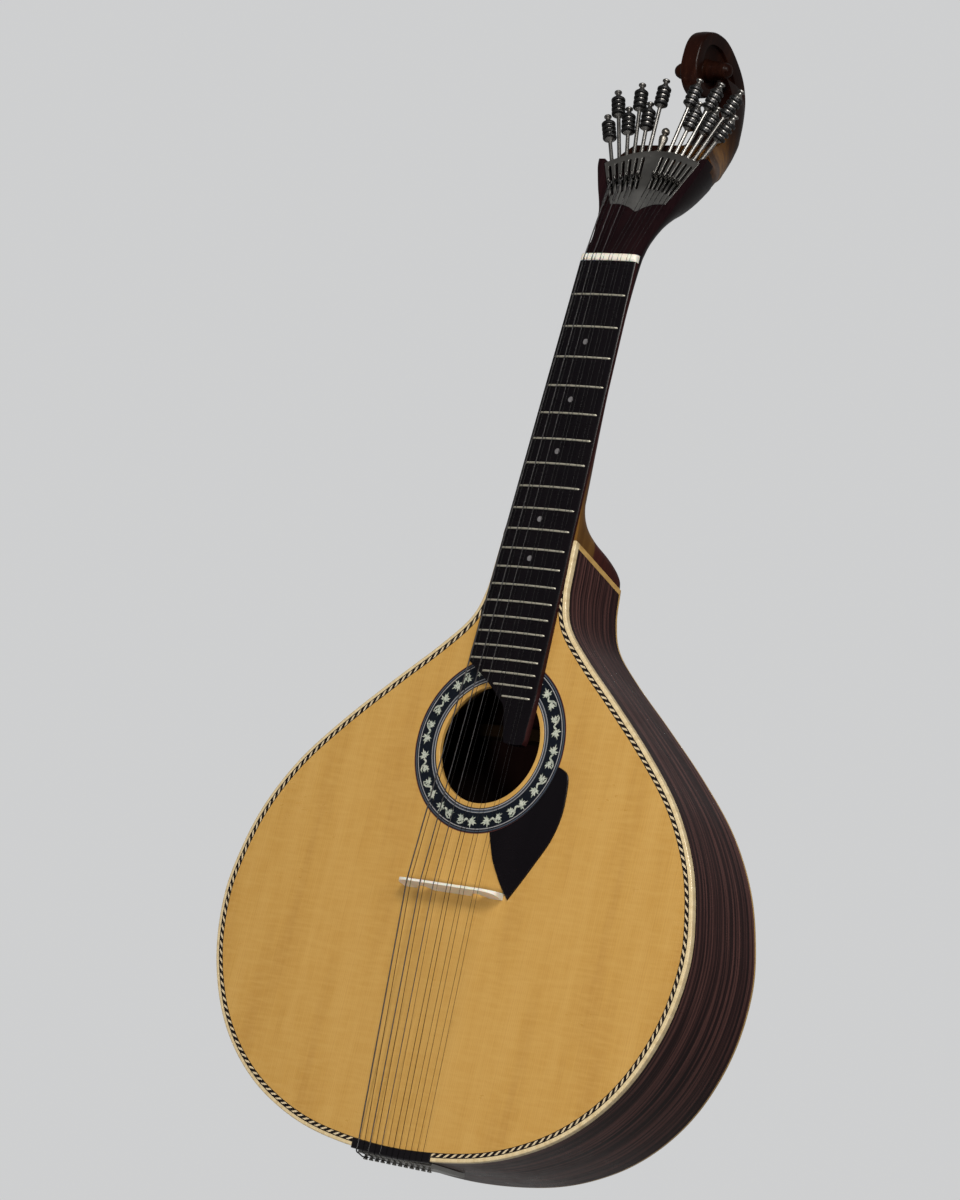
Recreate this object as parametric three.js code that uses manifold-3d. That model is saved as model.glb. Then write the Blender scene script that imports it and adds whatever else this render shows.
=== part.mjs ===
// Portuguese guitar: a pear-shaped body with a flat top and a flat tilted back, twelve strings in six
// pairs, a fan-shaped screw tuner on the head and a carved scroll above it.
// Millimetres. +Z runs up the neck, the soundboard faces -Y and +X is the treble side.
import * as THREE from "three";
import { mergeVertices } from "three/addons/utils/BufferGeometryUtils.js";
import Module from "manifold-3d";

// Fits between pieces, and how far a cutting solid runs past what it cuts.
const CLEARANCE = 0.3;
const OVERRUN = 6;

// Body. The depth is measured from the front of the soundboard to the back.
const BODY_LENGTH = 425;
const BODY_HALF_WIDTH = 195;
const TAIL_DEPTH = 93.4;
const JOINT_DEPTH = 59.7;
const JOINT_SLANT_DEGREES = 15.4;
const bodyOutlineShares = [
  [0, 0], [0.33, 0.0141], [0.567, 0.05], [0.745, 0.103], [0.881, 0.175], [0.97, 0.266], [1, 0.36],
  [0.976, 0.44], [0.918, 0.5185], [0.811, 0.598], [0.655, 0.674], [0.4715, 0.7495], [0.315, 0.811],
  [0.21, 0.861], [0.173, 0.9085], [0.165, 0.955], [0.16, 1],
];
const OUTLINE_STEPS = 56;

// Plates, ribs and edge strips.
const SOUNDBOARD_THICKNESS = 2.8;
const BACK_THICKNESS = 3;
const RIB_THICKNESS = 2.4;
const LINING_WIDTH = 6.5;
const LINING_DEPTH = 11;
const LINING_EDGE = 4;
const BINDING_WIDTH = 2.6;
const BINDING_DEPTH = 4;
const BACK_BINDING_DEPTH = 2.2;
const END_STRIP_WIDTH = 3.6;
const PURFLING_WIDTH = 3;

// Blocks and braces inside the body.
const NECK_BLOCK_LENGTH = 32;
const TAIL_BLOCK_LENGTH = 14;
const TAIL_BLOCK_HALF_WIDTH = 42;
const TENON_HALF_WIDTH = 11;
const TENON_DEPTH = 36;
const TENON_LENGTH = 14;
const BRACE_WIDTH = 8;
const BRACE_DEPTH = 15;
const BRACE_END_DEPTH = 5;
const BRACE_SCALLOP = 45;
const LOWER_TOP_BRACE_DROP = 58.2;
const backBraceShares = [["upper_back_brace", 0.706], ["lower_back_brace", 0.282]];

// Soundhole, rosette and finger plate.
const holeHeightShare = 0.6593;
const HOLE_RADIUS = 40.6;
const ROSETTE_INNER_RADIUS = 44;
const ROSETTE_OUTER_RADIUS = 61.5;
const ROSETTE_THICKNESS = 1.2;
const HOLE_STEPS = 36;
const GUARD_THICKNESS = 1.2;
const GUARD_WIDTH = 72.7;
const GUARD_LENGTH = 102;
const GUARD_START_DEGREES = -73;
const GUARD_END_DEGREES = -9;
const guardEdgeShares = [
  [0.965, 0.15], [1, 0.33], [0.985, 0.47], [0.93, 0.6], [0.85, 0.71], [0.735, 0.86], [0.62, 1],
  [0.575, 0.965], [0.48, 0.885], [0.36, 0.76], [0.295, 0.66],
];

// Neck and fingerboard. The board rises away from the soundboard plane towards the body.
const FREE_NECK_LENGTH = 199;
const NECK_DEPTH = 15.8;
const NECK_DEPTH_AT_NUT = 12;
const BOARD_RISE_AT_NUT = 0.2;
const BOARD_RISE_AT_JOINT = 4.9;
const BOARD_HALF_WIDTH_AT_NUT = 24.3;
const BOARD_HALF_WIDTH_AT_JOINT = 28.9;
const BOARD_THICKNESS = 5;
const BOARD_CAMBER = 1.5;
const boardOverBodyShare = 0.2706;
const TONGUE_LENGTH = 29;
const boardEndShares = [
  [-1, 0.78], [-0.58, 0.85], [-0.2, 0.92], [0.09, 0.985], [0.29, 1.04], [0.4, 1.14], [0.47, 1.225],
  [0.53, 1.252], [0.9, 1.252], [0.96, 1.225], [0.985, 1.15], [1, 1.03],
];
const FRET_COUNT = 21;
const FRET_WIDTH = 1.8;
const FRET_HEIGHT = 0.9;
const FRET_MARGIN = 2.4;
const FRET_ROOT = 0.8;
const SEMITONES = 12;
const CAMBER_STEPS = 4;

// Heel: depth and squareness of the section, from the body joint up to the plain neck.
const HEEL_DEPTH = 61.5;
const HEEL_HALF_WIDTH = 31.2;
const HEEL_LENGTH = 46;
const heelShares = [
  [-0.2, 1, 1, 0.95], [0.02, 1, 1, 0.95], [0.14, 0.985, 1, 0.9], [0.26, 0.89, 0.97, 0.8],
  [0.38, 0.725, 0.9, 0.62], [0.48, 0.485, 0.78, 0.42], [0.61, 0.237, 0.52, 0.25], [0.77, 0.08, 0.2, 0.12],
  [0.95, 0, 0, 0.06],
];
const SECTION_STEPS = 8;

// Nut, strings and bridge.
const NUT_THICKNESS = 5.2;
const NUT_HEIGHT = 1.1;
const STRING_LENGTH = 443.5;
const BRIDGE_HEIGHT = 13.8;
const BRIDGE_HALF_LENGTH = 41;
const BRIDGE_THICKNESS = 3;
const bridgeShares = [
  [-1, 0], [-1, 0.5], [-0.97, 0.72], [-0.9, 0.9], [-0.78, 1], [0.78, 1], [0.9, 0.9], [0.97, 0.72],
  [1, 0.5], [1, 0], [0.74, 0], [0.7, 0.2], [0.62, 0.42], [0.56, 0.46], [0.5, 0.42], [0.42, 0.2],
  [0.38, 0], [-0.38, 0], [-0.42, 0.2], [-0.5, 0.42], [-0.56, 0.46], [-0.62, 0.42], [-0.7, 0.2], [-0.74, 0],
];
const STRING_HALF_SPREAD_AT_NUT = 19.4;
const STRING_HALF_SPREAD_AT_BRIDGE = 30;
const STRING_HALF_SPREAD_AT_TAIL = 27;
const PAIR_SPACING_AT_NUT = 2.6;
const PAIR_SPACING_AT_BRIDGE = 3.4;
const STRINGS_PER_PAIR = 2;
const STRING_DIAMETERS = [0.92, 0.4, 0.76, 0.38, 0.56, 0.25, 0.38, 0.38, 0.28, 0.28, 0.25, 0.25];
const STRING_SIDES = 6;

// Saddle and tailpiece at the lower end of the body.
const SADDLE_HALF_WIDTH = 33;
const SADDLE_HEIGHT = 5.9;
const SADDLE_DEPTH = 2;
const SADDLE_PROUD = 1.1;
const TAIL_PLATE_HALF_WIDTH = 31;
const TAIL_PLATE_THICKNESS = 1.5;
const TAIL_PLATE_TOP = 5.2;
const TAIL_FACE_TOP = 14;
const TAIL_PLATE_BOTTOM = 43.2;
const PIN_LEDGE_STEP = 0.5;
const PIN_DEPTH = 10;
const PIN_LENGTH = 3;
const pinStringShare = 0.33;
const PIN_RADIUS = 1;
const PIN_HEAD_RADIUS = 1.6;
const PIN_HEAD_LENGTH = 1;

// Head. Its own frame starts at the nut: z up the head and y behind the face of the tuner plate.
const HEAD_TILT_DEGREES = 8;
const HEAD_SETBACK = 11.8;
const HEAD_LENGTH = 84.5;
const HEAD_HALF_WIDTH = 46.8;
const HEAD_BACK_DEPTH = 75;
const headShares = [
  [0.075, 0.517, 0.27], [0.15, 0.515, 0.295], [0.24, 0.527, 0.34], [0.38, 0.585, 0.431],
  [0.51, 0.66, 0.572], [0.6, 0.722, 0.703], [0.71, 0.812, 0.824], [0.83, 0.9, 0.925], [0.93, 0.965, 0.993],
  [1.08, 1, 1.06],
];
const headSquareness = -0.1;
const SCROLL_JOINT_HEIGHT = 80;
const SCROLL_JOINT_DEPTH = 10.4;

// Fan tuner: a slotted plate whose slots, rods and hooks point at one centre.
const FAN_CENTRE_HEIGHT = 4;
const FAN_HALF_ANGLE_DEGREES = 27.6;
const FIRST_TUNER_DEGREES = 5.6;
const TUNER_STEP_DEGREES = 3.88;
const TUNERS_PER_SIDE = 6;
const PLATE_RADIUS = 86.8;
const PLATE_LOW_RADIUS = 50.6;
const PLATE_POINT_HEIGHT = 43;
const PLATE_THICKNESS = 1.5;
const plateFootShares = [[0.68, 0], [0.5, 0.12], [0.28, 0.42], [0.1, 0.8]];
const SLOT_START_RADIUS = 56.7;
const SLOT_END_RADIUS = 82.4;
const SLOT_WIDTH = 2.4;
const SLOT_END_STEPS = 2;
const FLANGE_THICKNESS = 2.5;
const FLANGE_DEPTH = 7.4;
const LOWER_BAR_RADIUS = 53.6;
const LOWER_BAR_THICKNESS = 2;
const MACHINE_POCKET_DEPTH = 8.6;
const MACHINE_POCKET_DEGREES = 26.9;
const ROD_DEPTH = 4;
const ROD_DIAMETER = 2.8;
const THREAD_DIAMETER = 1.6;
const ARC_STEPS = 14;
const BORE_SIDES = 6;

// Knob on its rod: the short and the long rods take turns, so that the knobs stand in two rows.
const SHORT_KNOB_RADIUS = 107.4;
const LONG_KNOB_RADIUS = 124.9;
const KNOB_DIAMETER = 9.9;
const KNOB_BARREL_LENGTH = 15.6;
const KNOB_CROWN_LENGTH = 6.5;
const KNOB_RINGS = 4;
const KNOB_SIDES = 8;
const ringGrooveShare = 0.78;
const crownShares = [[0.62, 0.06], [0.3, 0.5], [0.3, 0.62], [0.54, 0.7], [0.54, 0.86], [0.3, 1]];

// Hook: a threaded block behind the plate, with a neck through the slot and an upturned horn in front.
const HOOK_RADIUS = 67.5;
const HOOK_BLOCK_WIDTH = 3.2;
const HOOK_BLOCK_LENGTH = 5;
const HOOK_BLOCK_DEPTH = 4.4;
const HOOK_NECK_WIDTH = 1.7;
const HOOK_NECK_LENGTH = 3.2;
const HOOK_NECK_PROUD = 1;
const HOOK_HORN_DIAMETER = 1.5;
const hornShares = [[0, 0], [0.45, 0.04], [0.82, 0.3], [1, 1]];
const HOOK_HORN_REACH = 3.4;
const HOOK_HORN_RISE = 3.4;
const HORN_STEPS = 4;

// Finial post on the middle of the flange: [radius, height] shares.
const FINIAL_RADIUS = 3.2;
const FINIAL_HEIGHT = 20;
const finialShares = [
  [0.95, 0], [0.95, 0.09], [0.62, 0.13], [0.62, 0.17], [0.34, 0.3], [0.3, 0.5], [0.42, 0.68], [0.72, 0.76],
  [0.8, 0.86], [0.6, 0.97],
];
const FINIAL_SIDES = 12;

// Scroll: a root on the head, a stem behind the knobs and a volute that curls forward round its eye.
const EYE_DEPTH = 57;
const EYE_HEIGHT = 163;
const VOLUTE_RADIUS = 51;
const FULL_TURN_DEGREES = 360;
const VOLUTE_TURN_DEGREES = 400;
const VOLUTE_LEAD_DEGREES = 12;
const VOLUTE_HALF_WIDTH = 7;
const VOLUTE_STEPS = 30;
const volutePathShares = [1, 0.66, 0.556, 0.516, 0.4, 0.385, 0.395, 0.352, 0.274, 0.216];
const voluteRimShares = [0.3, 0.235, 0.19, 0.173, 0.157, 0.141, 0.134, 0.125, 0.1, 0.08];
const rimRoundShare = 0.25;
const WEB_HALF_THICKNESS = 3.5;
const EYE_HALF_LENGTH = 23.5;
const EYE_RADIUS = 8.4;
const eyeShares = [[1, 0.14], [0.93, 0.2], [0.8, 0.45], [0.68, 0.78], [0.6, 0.86], [0.4, 0.96]];
const EYE_SIDES = 16;
const STEM_HALF_WIDTH = 14;
const STEM_BACK_DEPTH = 100;
const STEM_RISE = 85;
const ROOT_FRONT_LENGTH = 35;
const stemShares = [
  [-0.1, 3, 0.217, 0.7, -0.1], [0, 3.243, 0.229, 0.75, -0.1], [0.07, 3.02, 0.24, 0.82, -0.1],
  [0.14, 2.64, 0.253, 0.913, -0.1], [0.21, 2.1, 0.34, 0.957, 0], [0.3, 1.5, 0.55, 0.999, 0.15],
  [0.4, 1.107, 0.74, 1.037, 0.3], [0.55, 0.95, 0.82, 1.081, 0.35], [0.72, 0.92, 0.84, 1.075, 0.35],
  [0.85, 0.78, 0.84, 1.085, 0.35], [1, 0.54, 0.85, 1.055, 0.35],
];

// Places worked out from the sizes above.
const NUT_HEIGHT_ON_BODY = BODY_LENGTH + FREE_NECK_LENGTH;
const BRIDGE_HEIGHT_ON_BODY = NUT_HEIGHT_ON_BODY - STRING_LENGTH;
const HOLE_HEIGHT = BODY_LENGTH * holeHeightShare;
const BOARD_OVER_BODY = BODY_LENGTH * boardOverBodyShare;
const BOARD_END_HEIGHT = BODY_LENGTH - BOARD_OVER_BODY;
const PURFLING_INSET = BINDING_WIDTH + CLEARANCE;
const SOUNDBOARD_INSET = PURFLING_INSET + PURFLING_WIDTH + CLEARANCE;
const TAIL_FACE_DROP = TAIL_PLATE_THICKNESS + CLEARANCE;
const SPAN = BODY_LENGTH + BODY_LENGTH;
const radians = THREE.MathUtils.degToRad;
const jointSlope = Math.tan(radians(JOINT_SLANT_DEGREES));
const backSlope = (TAIL_DEPTH - JOINT_DEPTH) / BODY_LENGTH;

const wasm = await Module();
wasm.setup();

// A solid from a closed geometry, turned so that its faces point outwards.
function solid(geometry) {
  geometry.deleteAttribute("normal");
  geometry.deleteAttribute("uv");
  const merged = mergeVertices(geometry);
  const corners = new Uint32Array(merged.index.array);
  const places = merged.attributes.position.array;
  const made = new wasm.Manifold(new wasm.Mesh({ numProp: 3, vertProperties: places, triVerts: corners }));
  if (made.volume() > 0) return made;
  for (let i = 0; i < corners.length; i += 3) [corners[i], corners[i + 1]] = [corners[i + 1], corners[i]];
  return new wasm.Manifold(new wasm.Mesh({ numProp: 3, vertProperties: places, triVerts: corners }));
}

// A closed geometry from matching sections: each is a list of flat points, and place puts them in space.
function loft(sections, place) {
  const size = sections[0].length;
  const places = sections.flatMap((section, i) => section.flatMap((point) => place(point, i).toArray()));
  const faces = [];
  for (let i = 1; i < sections.length; i++)
    for (let j = 0; j < size; j++) {
      const [a, b] = [j, (j + 1) % size];
      const [low, high] = [(i - 1) * size, i * size];
      faces.push(low + a, low + b, high + b, low + a, high + b, high + a);
    }
  const last = (sections.length - 1) * size;
  for (const [a, b, c] of THREE.ShapeUtils.triangulateShape(sections[0], [])) faces.push(c, b, a);
  for (const [a, b, c] of THREE.ShapeUtils.triangulateShape(sections.at(-1), []))
    faces.push(last + a, last + b, last + c);
  const geometry = new THREE.BufferGeometry();
  geometry.setAttribute("position", new THREE.Float32BufferAttribute(places, 3));
  geometry.setIndex(faces);
  return geometry;
}

// An outline of (x, z) points made solid between two depths.
function slab(points, front, back, holes = []) {
  const shape = new THREE.Shape(points);
  shape.holes = holes.map((hole) => new THREE.Path(hole));
  const geometry = new THREE.ExtrudeGeometry(shape, { depth: back - front, bevelEnabled: false });
  return geometry.rotateX(Math.PI / 2).translate(0, back, 0);
}

// A round piece along z from [radius, height] pairs that start and end on the axis.
function turned(pairs, sides) {
  const profile = pairs.map(([radius, height]) => new THREE.Vector2(radius, height));
  return new THREE.LatheGeometry(profile, sides).rotateX(Math.PI / 2);
}

function bore(diameter, start, end, sides) {
  const radius = diameter / 2;
  return turned([[0, start], [radius, start], [radius, end], [0, end]], sides);
}

function block(left, right, front, back, low, high) {
  const geometry = new THREE.BoxGeometry(right - left, back - front, high - low);
  return geometry.translate((left + right) / 2, (front + back) / 2, (low + high) / 2);
}

function circlePoints(radius, height, steps) {
  return Array.from({ length: steps }, (_, i) => {
    const turn = (2 * Math.PI * i) / steps;
    return new THREE.Vector2(radius * Math.cos(turn), height + radius * Math.sin(turn));
  });
}

// The body outline from the treble joint round the tail to the bass joint, moved in by an inset.
const treblePoints = bodyOutlineShares.map(
  ([across, up]) => new THREE.Vector2(across * BODY_HALF_WIDTH, up * BODY_LENGTH));
const bassPoints = treblePoints.slice(1).map((point) => new THREE.Vector2(-point.x, point.y));
const bodyCurve = new THREE.SplineCurve([...treblePoints.reverse(), ...bassPoints]);
const bodyEdge = bodyCurve.getSpacedPoints(OUTLINE_STEPS);

function outline(inset) {
  const points = bodyEdge.map((point, i) => {
    const before = bodyEdge[Math.max(i - 1, 0)];
    const after = bodyEdge[Math.min(i + 1, bodyEdge.length - 1)];
    const along = after.clone().sub(before).normalize();
    return new THREE.Vector2(point.x + along.y * inset, point.y - along.x * inset);
  });
  const rise = new THREE.Vector2(0, HEEL_LENGTH);
  return [points[0].clone().add(rise), ...points, points.at(-1).clone().add(rise)];
}

function backDepth(height) {
  return TAIL_DEPTH - backSlope * height;
}

function leanToBack(geometry) {
  const shear = new THREE.Matrix4().makeShear(0, 0, 0, 0, 0, -backSlope);
  return geometry.applyMatrix4(shear).translate(0, TAIL_DEPTH, 0);
}

// Everything above the slanted plane of the neck joint, raised by a margin.
function aboveJoint(margin) {
  const wedge = new THREE.BoxGeometry(SPAN, SPAN, SPAN).translate(0, 0, SPAN / 2);
  return solid(wedge.rotateX(-radians(JOINT_SLANT_DEGREES)).translate(0, 0, BODY_LENGTH + margin));
}
const aboveBody = aboveJoint(-CLEARANCE / 2);
const aboveRibs = aboveJoint(-END_STRIP_WIDTH - CLEARANCE - CLEARANCE / 2);

// A strip along the outline: its section is [inset, depth] pairs, where "back" depths count from the back.
function edgeStrip(section) {
  const path = outline(0);
  const insets = section.map(([inset]) => outline(inset));
  const flat = section.map(([inset, depth, side]) =>
    new THREE.Vector2(inset, depth + (side === "back" ? TAIL_DEPTH : 0)));
  return solid(loft(path.map(() => flat), (point, i) => {
    const j = flat.indexOf(point);
    const [, depth, side] = section[j];
    const { x, y } = insets[j][i];
    return new THREE.Vector3(x, side === "back" ? backDepth(y) + depth : depth, y);
  }));
}

const looks = {
  spruce: [0xd9a557, 0.35, 0],
  rosewood: [0x3a1c17, 0.3, 0],
  mahogany: [0x4a1f18, 0.35, 0],
  figured: [0x6e3218, 0.3, 0],
  maple: [0xd8b67a, 0.4, 0],
  lining: [0xb98a55, 0.7, 0],
  rope: [0x6a5a45, 0.5, 0],
  inlay: [0x25303d, 0.3, 0],
  ebony: [0x17120f, 0.35, 0],
  bone: [0xe6dcc2, 0.4, 0],
  plate: [0x9a9a98, 0.4, 0.9],
  steel: [0x8d8d8b, 0.3, 1],
  dark_steel: [0x3a3a3b, 0.35, 1],
  brass: [0xb08b4a, 0.35, 1],
};

const instrument = new THREE.Group();

function piece(name, made, look, parent = instrument) {
  let geometry = made;
  if (!made.isBufferGeometry) {
    const mesh = made.getMesh();
    geometry = new THREE.BufferGeometry();
    geometry.setAttribute("position", new THREE.BufferAttribute(mesh.vertProperties, 3));
    geometry.setIndex(new THREE.BufferAttribute(mesh.triVerts, 1));
  }
  const [color, roughness, metalness] = looks[look];
  const material = new THREE.MeshStandardMaterial({ color, roughness, metalness, flatShading: true });
  const mesh = new THREE.Mesh(geometry, material);
  mesh.name = name;
  parent.add(mesh);
}

// Soundboard with its hole and the ring recess that holds the rosette.
const soundboardFoot = SOUNDBOARD_THICKNESS + CLEARANCE;
const holeEdge = circlePoints(HOLE_RADIUS, HOLE_HEIGHT, HOLE_STEPS);
const recess = slab(
  circlePoints(ROSETTE_OUTER_RADIUS + CLEARANCE, HOLE_HEIGHT, HOLE_STEPS), -OVERRUN,
  ROSETTE_THICKNESS + CLEARANCE,
  [circlePoints(ROSETTE_INNER_RADIUS - CLEARANCE, HOLE_HEIGHT, HOLE_STEPS)]);
const soundboard = solid(slab(outline(SOUNDBOARD_INSET), 0, SOUNDBOARD_THICKNESS, [holeEdge]))
  .subtract(solid(recess))
  .subtract(aboveBody);
piece("soundboard", soundboard, "spruce");
const rosette = slab(
  circlePoints(ROSETTE_OUTER_RADIUS, HOLE_HEIGHT, HOLE_STEPS), 0, ROSETTE_THICKNESS,
  [circlePoints(ROSETTE_INNER_RADIUS, HOLE_HEIGHT, HOLE_STEPS)]);
piece("rosette", solid(rosette), "inlay");

// Flat back, tilted so that the body is deepest at the tail.
const back = solid(leanToBack(slab(outline(PURFLING_INSET), -BACK_THICKNESS, 0))).subtract(aboveBody);
piece("back_plate", back, "rosewood");

// Neck and tail blocks, glued between the ribs.
const backFoot = BACK_THICKNESS + CLEARANCE;
function blockSpace(inset, front, back, low, high, halfWidth) {
  const prism = solid(slab(outline(inset), front, TAIL_DEPTH));
  const behind = solid(leanToBack(slab(outline(-OVERRUN), back, SPAN)));
  const room = solid(block(-halfWidth, halfWidth, -OVERRUN, TAIL_DEPTH + OVERRUN, low, high));
  return prism.subtract(behind).intersect(room);
}
const tenonRoom = solid(block(
  -TENON_HALF_WIDTH - CLEARANCE, TENON_HALF_WIDTH + CLEARANCE, 0,
  TENON_DEPTH + CLEARANCE, BODY_LENGTH - TENON_LENGTH - OVERRUN, BODY_LENGTH + OVERRUN));
const neckBlockFoot = BODY_LENGTH - NECK_BLOCK_LENGTH;
const neckBlock = blockSpace(
  PURFLING_INSET, soundboardFoot, -backFoot, neckBlockFoot, BODY_LENGTH, BODY_HALF_WIDTH)
  .subtract(tenonRoom).subtract(aboveBody);
piece("neck_block", neckBlock, "lining");
const tailBlock = blockSpace(
  PURFLING_INSET, soundboardFoot, -backFoot, -OVERRUN, TAIL_BLOCK_LENGTH, TAIL_BLOCK_HALF_WIDTH);
piece("tail_block", tailBlock, "lining");

// Ribs, each with its two linings, which carry the edges of the soundboard and the back.
const liningInset = RIB_THICKNESS + LINING_WIDTH;
const ribSection = [
  [0, BINDING_DEPTH + CLEARANCE], [PURFLING_INSET, BINDING_DEPTH + CLEARANCE],
  [PURFLING_INSET, soundboardFoot], [liningInset, soundboardFoot], [liningInset, soundboardFoot + LINING_EDGE],
  [RIB_THICKNESS, soundboardFoot + LINING_DEPTH], [RIB_THICKNESS, -backFoot - LINING_DEPTH, "back"],
  [liningInset, -backFoot - LINING_EDGE, "back"], [liningInset, -backFoot, "back"],
  [PURFLING_INSET, -backFoot, "back"], [PURFLING_INSET, -BACK_BINDING_DEPTH - CLEARANCE, "back"],
  [0, -BACK_BINDING_DEPTH - CLEARANCE, "back"],
];
const blockRooms = blockSpace(
  RIB_THICKNESS, 0, OVERRUN, neckBlockFoot - CLEARANCE, SPAN, BODY_HALF_WIDTH)
  .add(blockSpace(
    RIB_THICKNESS, 0, OVERRUN, -OVERRUN, TAIL_BLOCK_LENGTH + CLEARANCE, TAIL_BLOCK_HALF_WIDTH + CLEARANCE));
const bothRibs = edgeStrip(ribSection).subtract(blockRooms).subtract(aboveRibs);
const seam = CLEARANCE / 2;
const trebleSide = solid(block(seam, SPAN, -SPAN, SPAN, -SPAN, SPAN));
const bassSide = solid(block(-SPAN, -seam, -SPAN, SPAN, -SPAN, SPAN));
piece("rib_treble", bothRibs.intersect(trebleSide), "rosewood");
piece("rib_bass", bothRibs.intersect(bassSide), "rosewood");

// Saddle: a hard block let into the lower edge, where the strings turn over it.
function saddleSolid(grow, front, back) {
  const outer = outline(-SADDLE_PROUD - grow);
  const inner = outline(SADDLE_HEIGHT + grow).reverse();
  const band = solid(slab([...outer, ...inner], front, back));
  const room = solid(block(-SADDLE_HALF_WIDTH - grow, SADDLE_HALF_WIDTH + grow, -SPAN, SPAN, -SPAN, BODY_LENGTH / 2));
  return band.intersect(room);
}
piece("saddle", saddleSolid(0, -SADDLE_PROUD, SADDLE_DEPTH), "ebony");
const saddleRoom = saddleSolid(CLEARANCE, -OVERRUN, SADDLE_DEPTH + CLEARANCE);

// Bindings and rope purfling. The front binding turns down the upper end of each rib.
const frontBinding = edgeStrip([[0, 0], [BINDING_WIDTH, 0], [BINDING_WIDTH, BINDING_DEPTH], [0, BINDING_DEPTH]]);
const endStrips = edgeStrip([
  [0, 0], [BINDING_WIDTH, 0], [BINDING_WIDTH, -BACK_BINDING_DEPTH - CLEARANCE, "back"],
  [0, -BACK_BINDING_DEPTH - CLEARANCE, "back"],
]).intersect(aboveJoint(-END_STRIP_WIDTH - CLEARANCE / 2));
const topBinding = frontBinding.add(endStrips).subtract(aboveBody).subtract(saddleRoom);
piece("top_binding", topBinding, "maple");
const purflingInner = PURFLING_INSET + PURFLING_WIDTH;
const purfling = edgeStrip([
  [PURFLING_INSET, 0], [purflingInner, 0], [purflingInner, SOUNDBOARD_THICKNESS],
  [PURFLING_INSET, SOUNDBOARD_THICKNESS],
]);
piece("purfling", purfling.subtract(aboveBody).subtract(saddleRoom), "rope");
const backBinding = edgeStrip([
  [0, -BACK_BINDING_DEPTH, "back"], [BINDING_WIDTH, -BACK_BINDING_DEPTH, "back"], [BINDING_WIDTH, 0, "back"],
  [0, 0, "back"],
]);
piece("back_binding", backBinding.subtract(aboveBody), "maple");

// Braces across the soundboard and the back, thinned towards their ends.
function halfWidthAt(height, inset) {
  const points = outline(inset);
  const i = points.findIndex((point) => point.x > 0 && point.y < height);
  const share = (height - points[i].y) / (points[i - 1].y - points[i].y);
  return points[i].lerp(points[i - 1], share).x;
}
function brace(height) {
  const ends = [height - BRACE_WIDTH, height + BRACE_WIDTH];
  const half = Math.min(...ends.map((end) => halfWidthAt(end, liningInset + CLEARANCE)));
  const thin = Math.max(half - BRACE_SCALLOP, 0);
  const shape = new THREE.Shape([
    new THREE.Vector2(-half, 0), new THREE.Vector2(half, 0), new THREE.Vector2(half, BRACE_END_DEPTH),
    new THREE.Vector2(thin, BRACE_DEPTH), new THREE.Vector2(-thin, BRACE_DEPTH),
    new THREE.Vector2(-half, BRACE_END_DEPTH),
  ]);
  const geometry = new THREE.ExtrudeGeometry(shape, { depth: BRACE_WIDTH, bevelEnabled: false });
  return geometry.translate(0, 0, -BRACE_WIDTH / 2);
}
const aboveHole = (HOLE_HEIGHT + HOLE_RADIUS + neckBlockFoot) / 2;
for (const [name, height] of [
  ["upper_top_brace", aboveHole],
  ["lower_top_brace", HOLE_HEIGHT - LOWER_TOP_BRACE_DROP],
]) piece(name, solid(brace(height).translate(0, soundboardFoot, height)), "spruce");
for (const [name, share] of backBraceShares) {
  const height = share * BODY_LENGTH;
  piece(name, solid(leanToBack(brace(height).scale(1, -1, 1).translate(0, -backFoot, height))), "spruce");
}

// Finger plate: a leaf that starts on the rosette and comes to a point beside the bridge.
const guardArc = Array.from({ length: ARC_STEPS + 1 }, (_, i) => {
  const turn = radians(THREE.MathUtils.lerp(GUARD_START_DEGREES, GUARD_END_DEGREES, i / ARC_STEPS));
  const radius = ROSETTE_OUTER_RADIUS + CLEARANCE;
  return new THREE.Vector2(radius * Math.cos(turn), HOLE_HEIGHT + radius * Math.sin(turn));
});
const guardEdge = guardEdgeShares.map(
  ([across, down]) => new THREE.Vector2(across * GUARD_WIDTH, HOLE_HEIGHT - down * GUARD_LENGTH));
const guard = slab([...guardArc, ...guardEdge], -CLEARANCE - GUARD_THICKNESS, -CLEARANCE);
piece("pickguard", solid(guard), "ebony");

// Fingerboard: cambered, tapered, with a slanted lower end that runs out in a tongue over the soundhole.
function boardAt(height, from, to) {
  return THREE.MathUtils.lerp(from, to, (NUT_HEIGHT_ON_BODY - height) / FREE_NECK_LENGTH);
}
function boardHalfWidth(height) {
  return boardAt(height, BOARD_HALF_WIDTH_AT_NUT, BOARD_HALF_WIDTH_AT_JOINT);
}
function boardFront(height, side = 0) {
  const middle = -boardAt(height, BOARD_RISE_AT_NUT, BOARD_RISE_AT_JOINT);
  const share = side / BOARD_HALF_WIDTH_AT_NUT;
  return middle + BOARD_CAMBER * share * share;
}
function boardFoot(height) {
  const foot = boardAt(height, BOARD_THICKNESS - BOARD_RISE_AT_NUT, -CLEARANCE);
  return Math.max(foot, -CLEARANCE);
}
function camberStrip(height, half, lift, foot) {
  const points = Array.from({ length: CAMBER_STEPS + 1 }, (_, i) => {
    const side = THREE.MathUtils.lerp(-half, half, i / CAMBER_STEPS);
    return new THREE.Vector2(side, boardFront(height, side) - lift);
  });
  const under = foot ? [new THREE.Vector2(half, foot(height)), new THREE.Vector2(-half, foot(height))]
    : points.map((point) => new THREE.Vector2(point.x, point.y + lift + FRET_ROOT)).reverse();
  return [...points, ...under];
}
function alongNeck(heights, section) {
  return solid(loft(heights.map(section), (point, i) => new THREE.Vector3(point.x, point.y, heights[i])));
}
const tongueEnd = BOARD_END_HEIGHT - TONGUE_LENGTH;
const nutFace = NUT_HEIGHT_ON_BODY - CLEARANCE;
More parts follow.
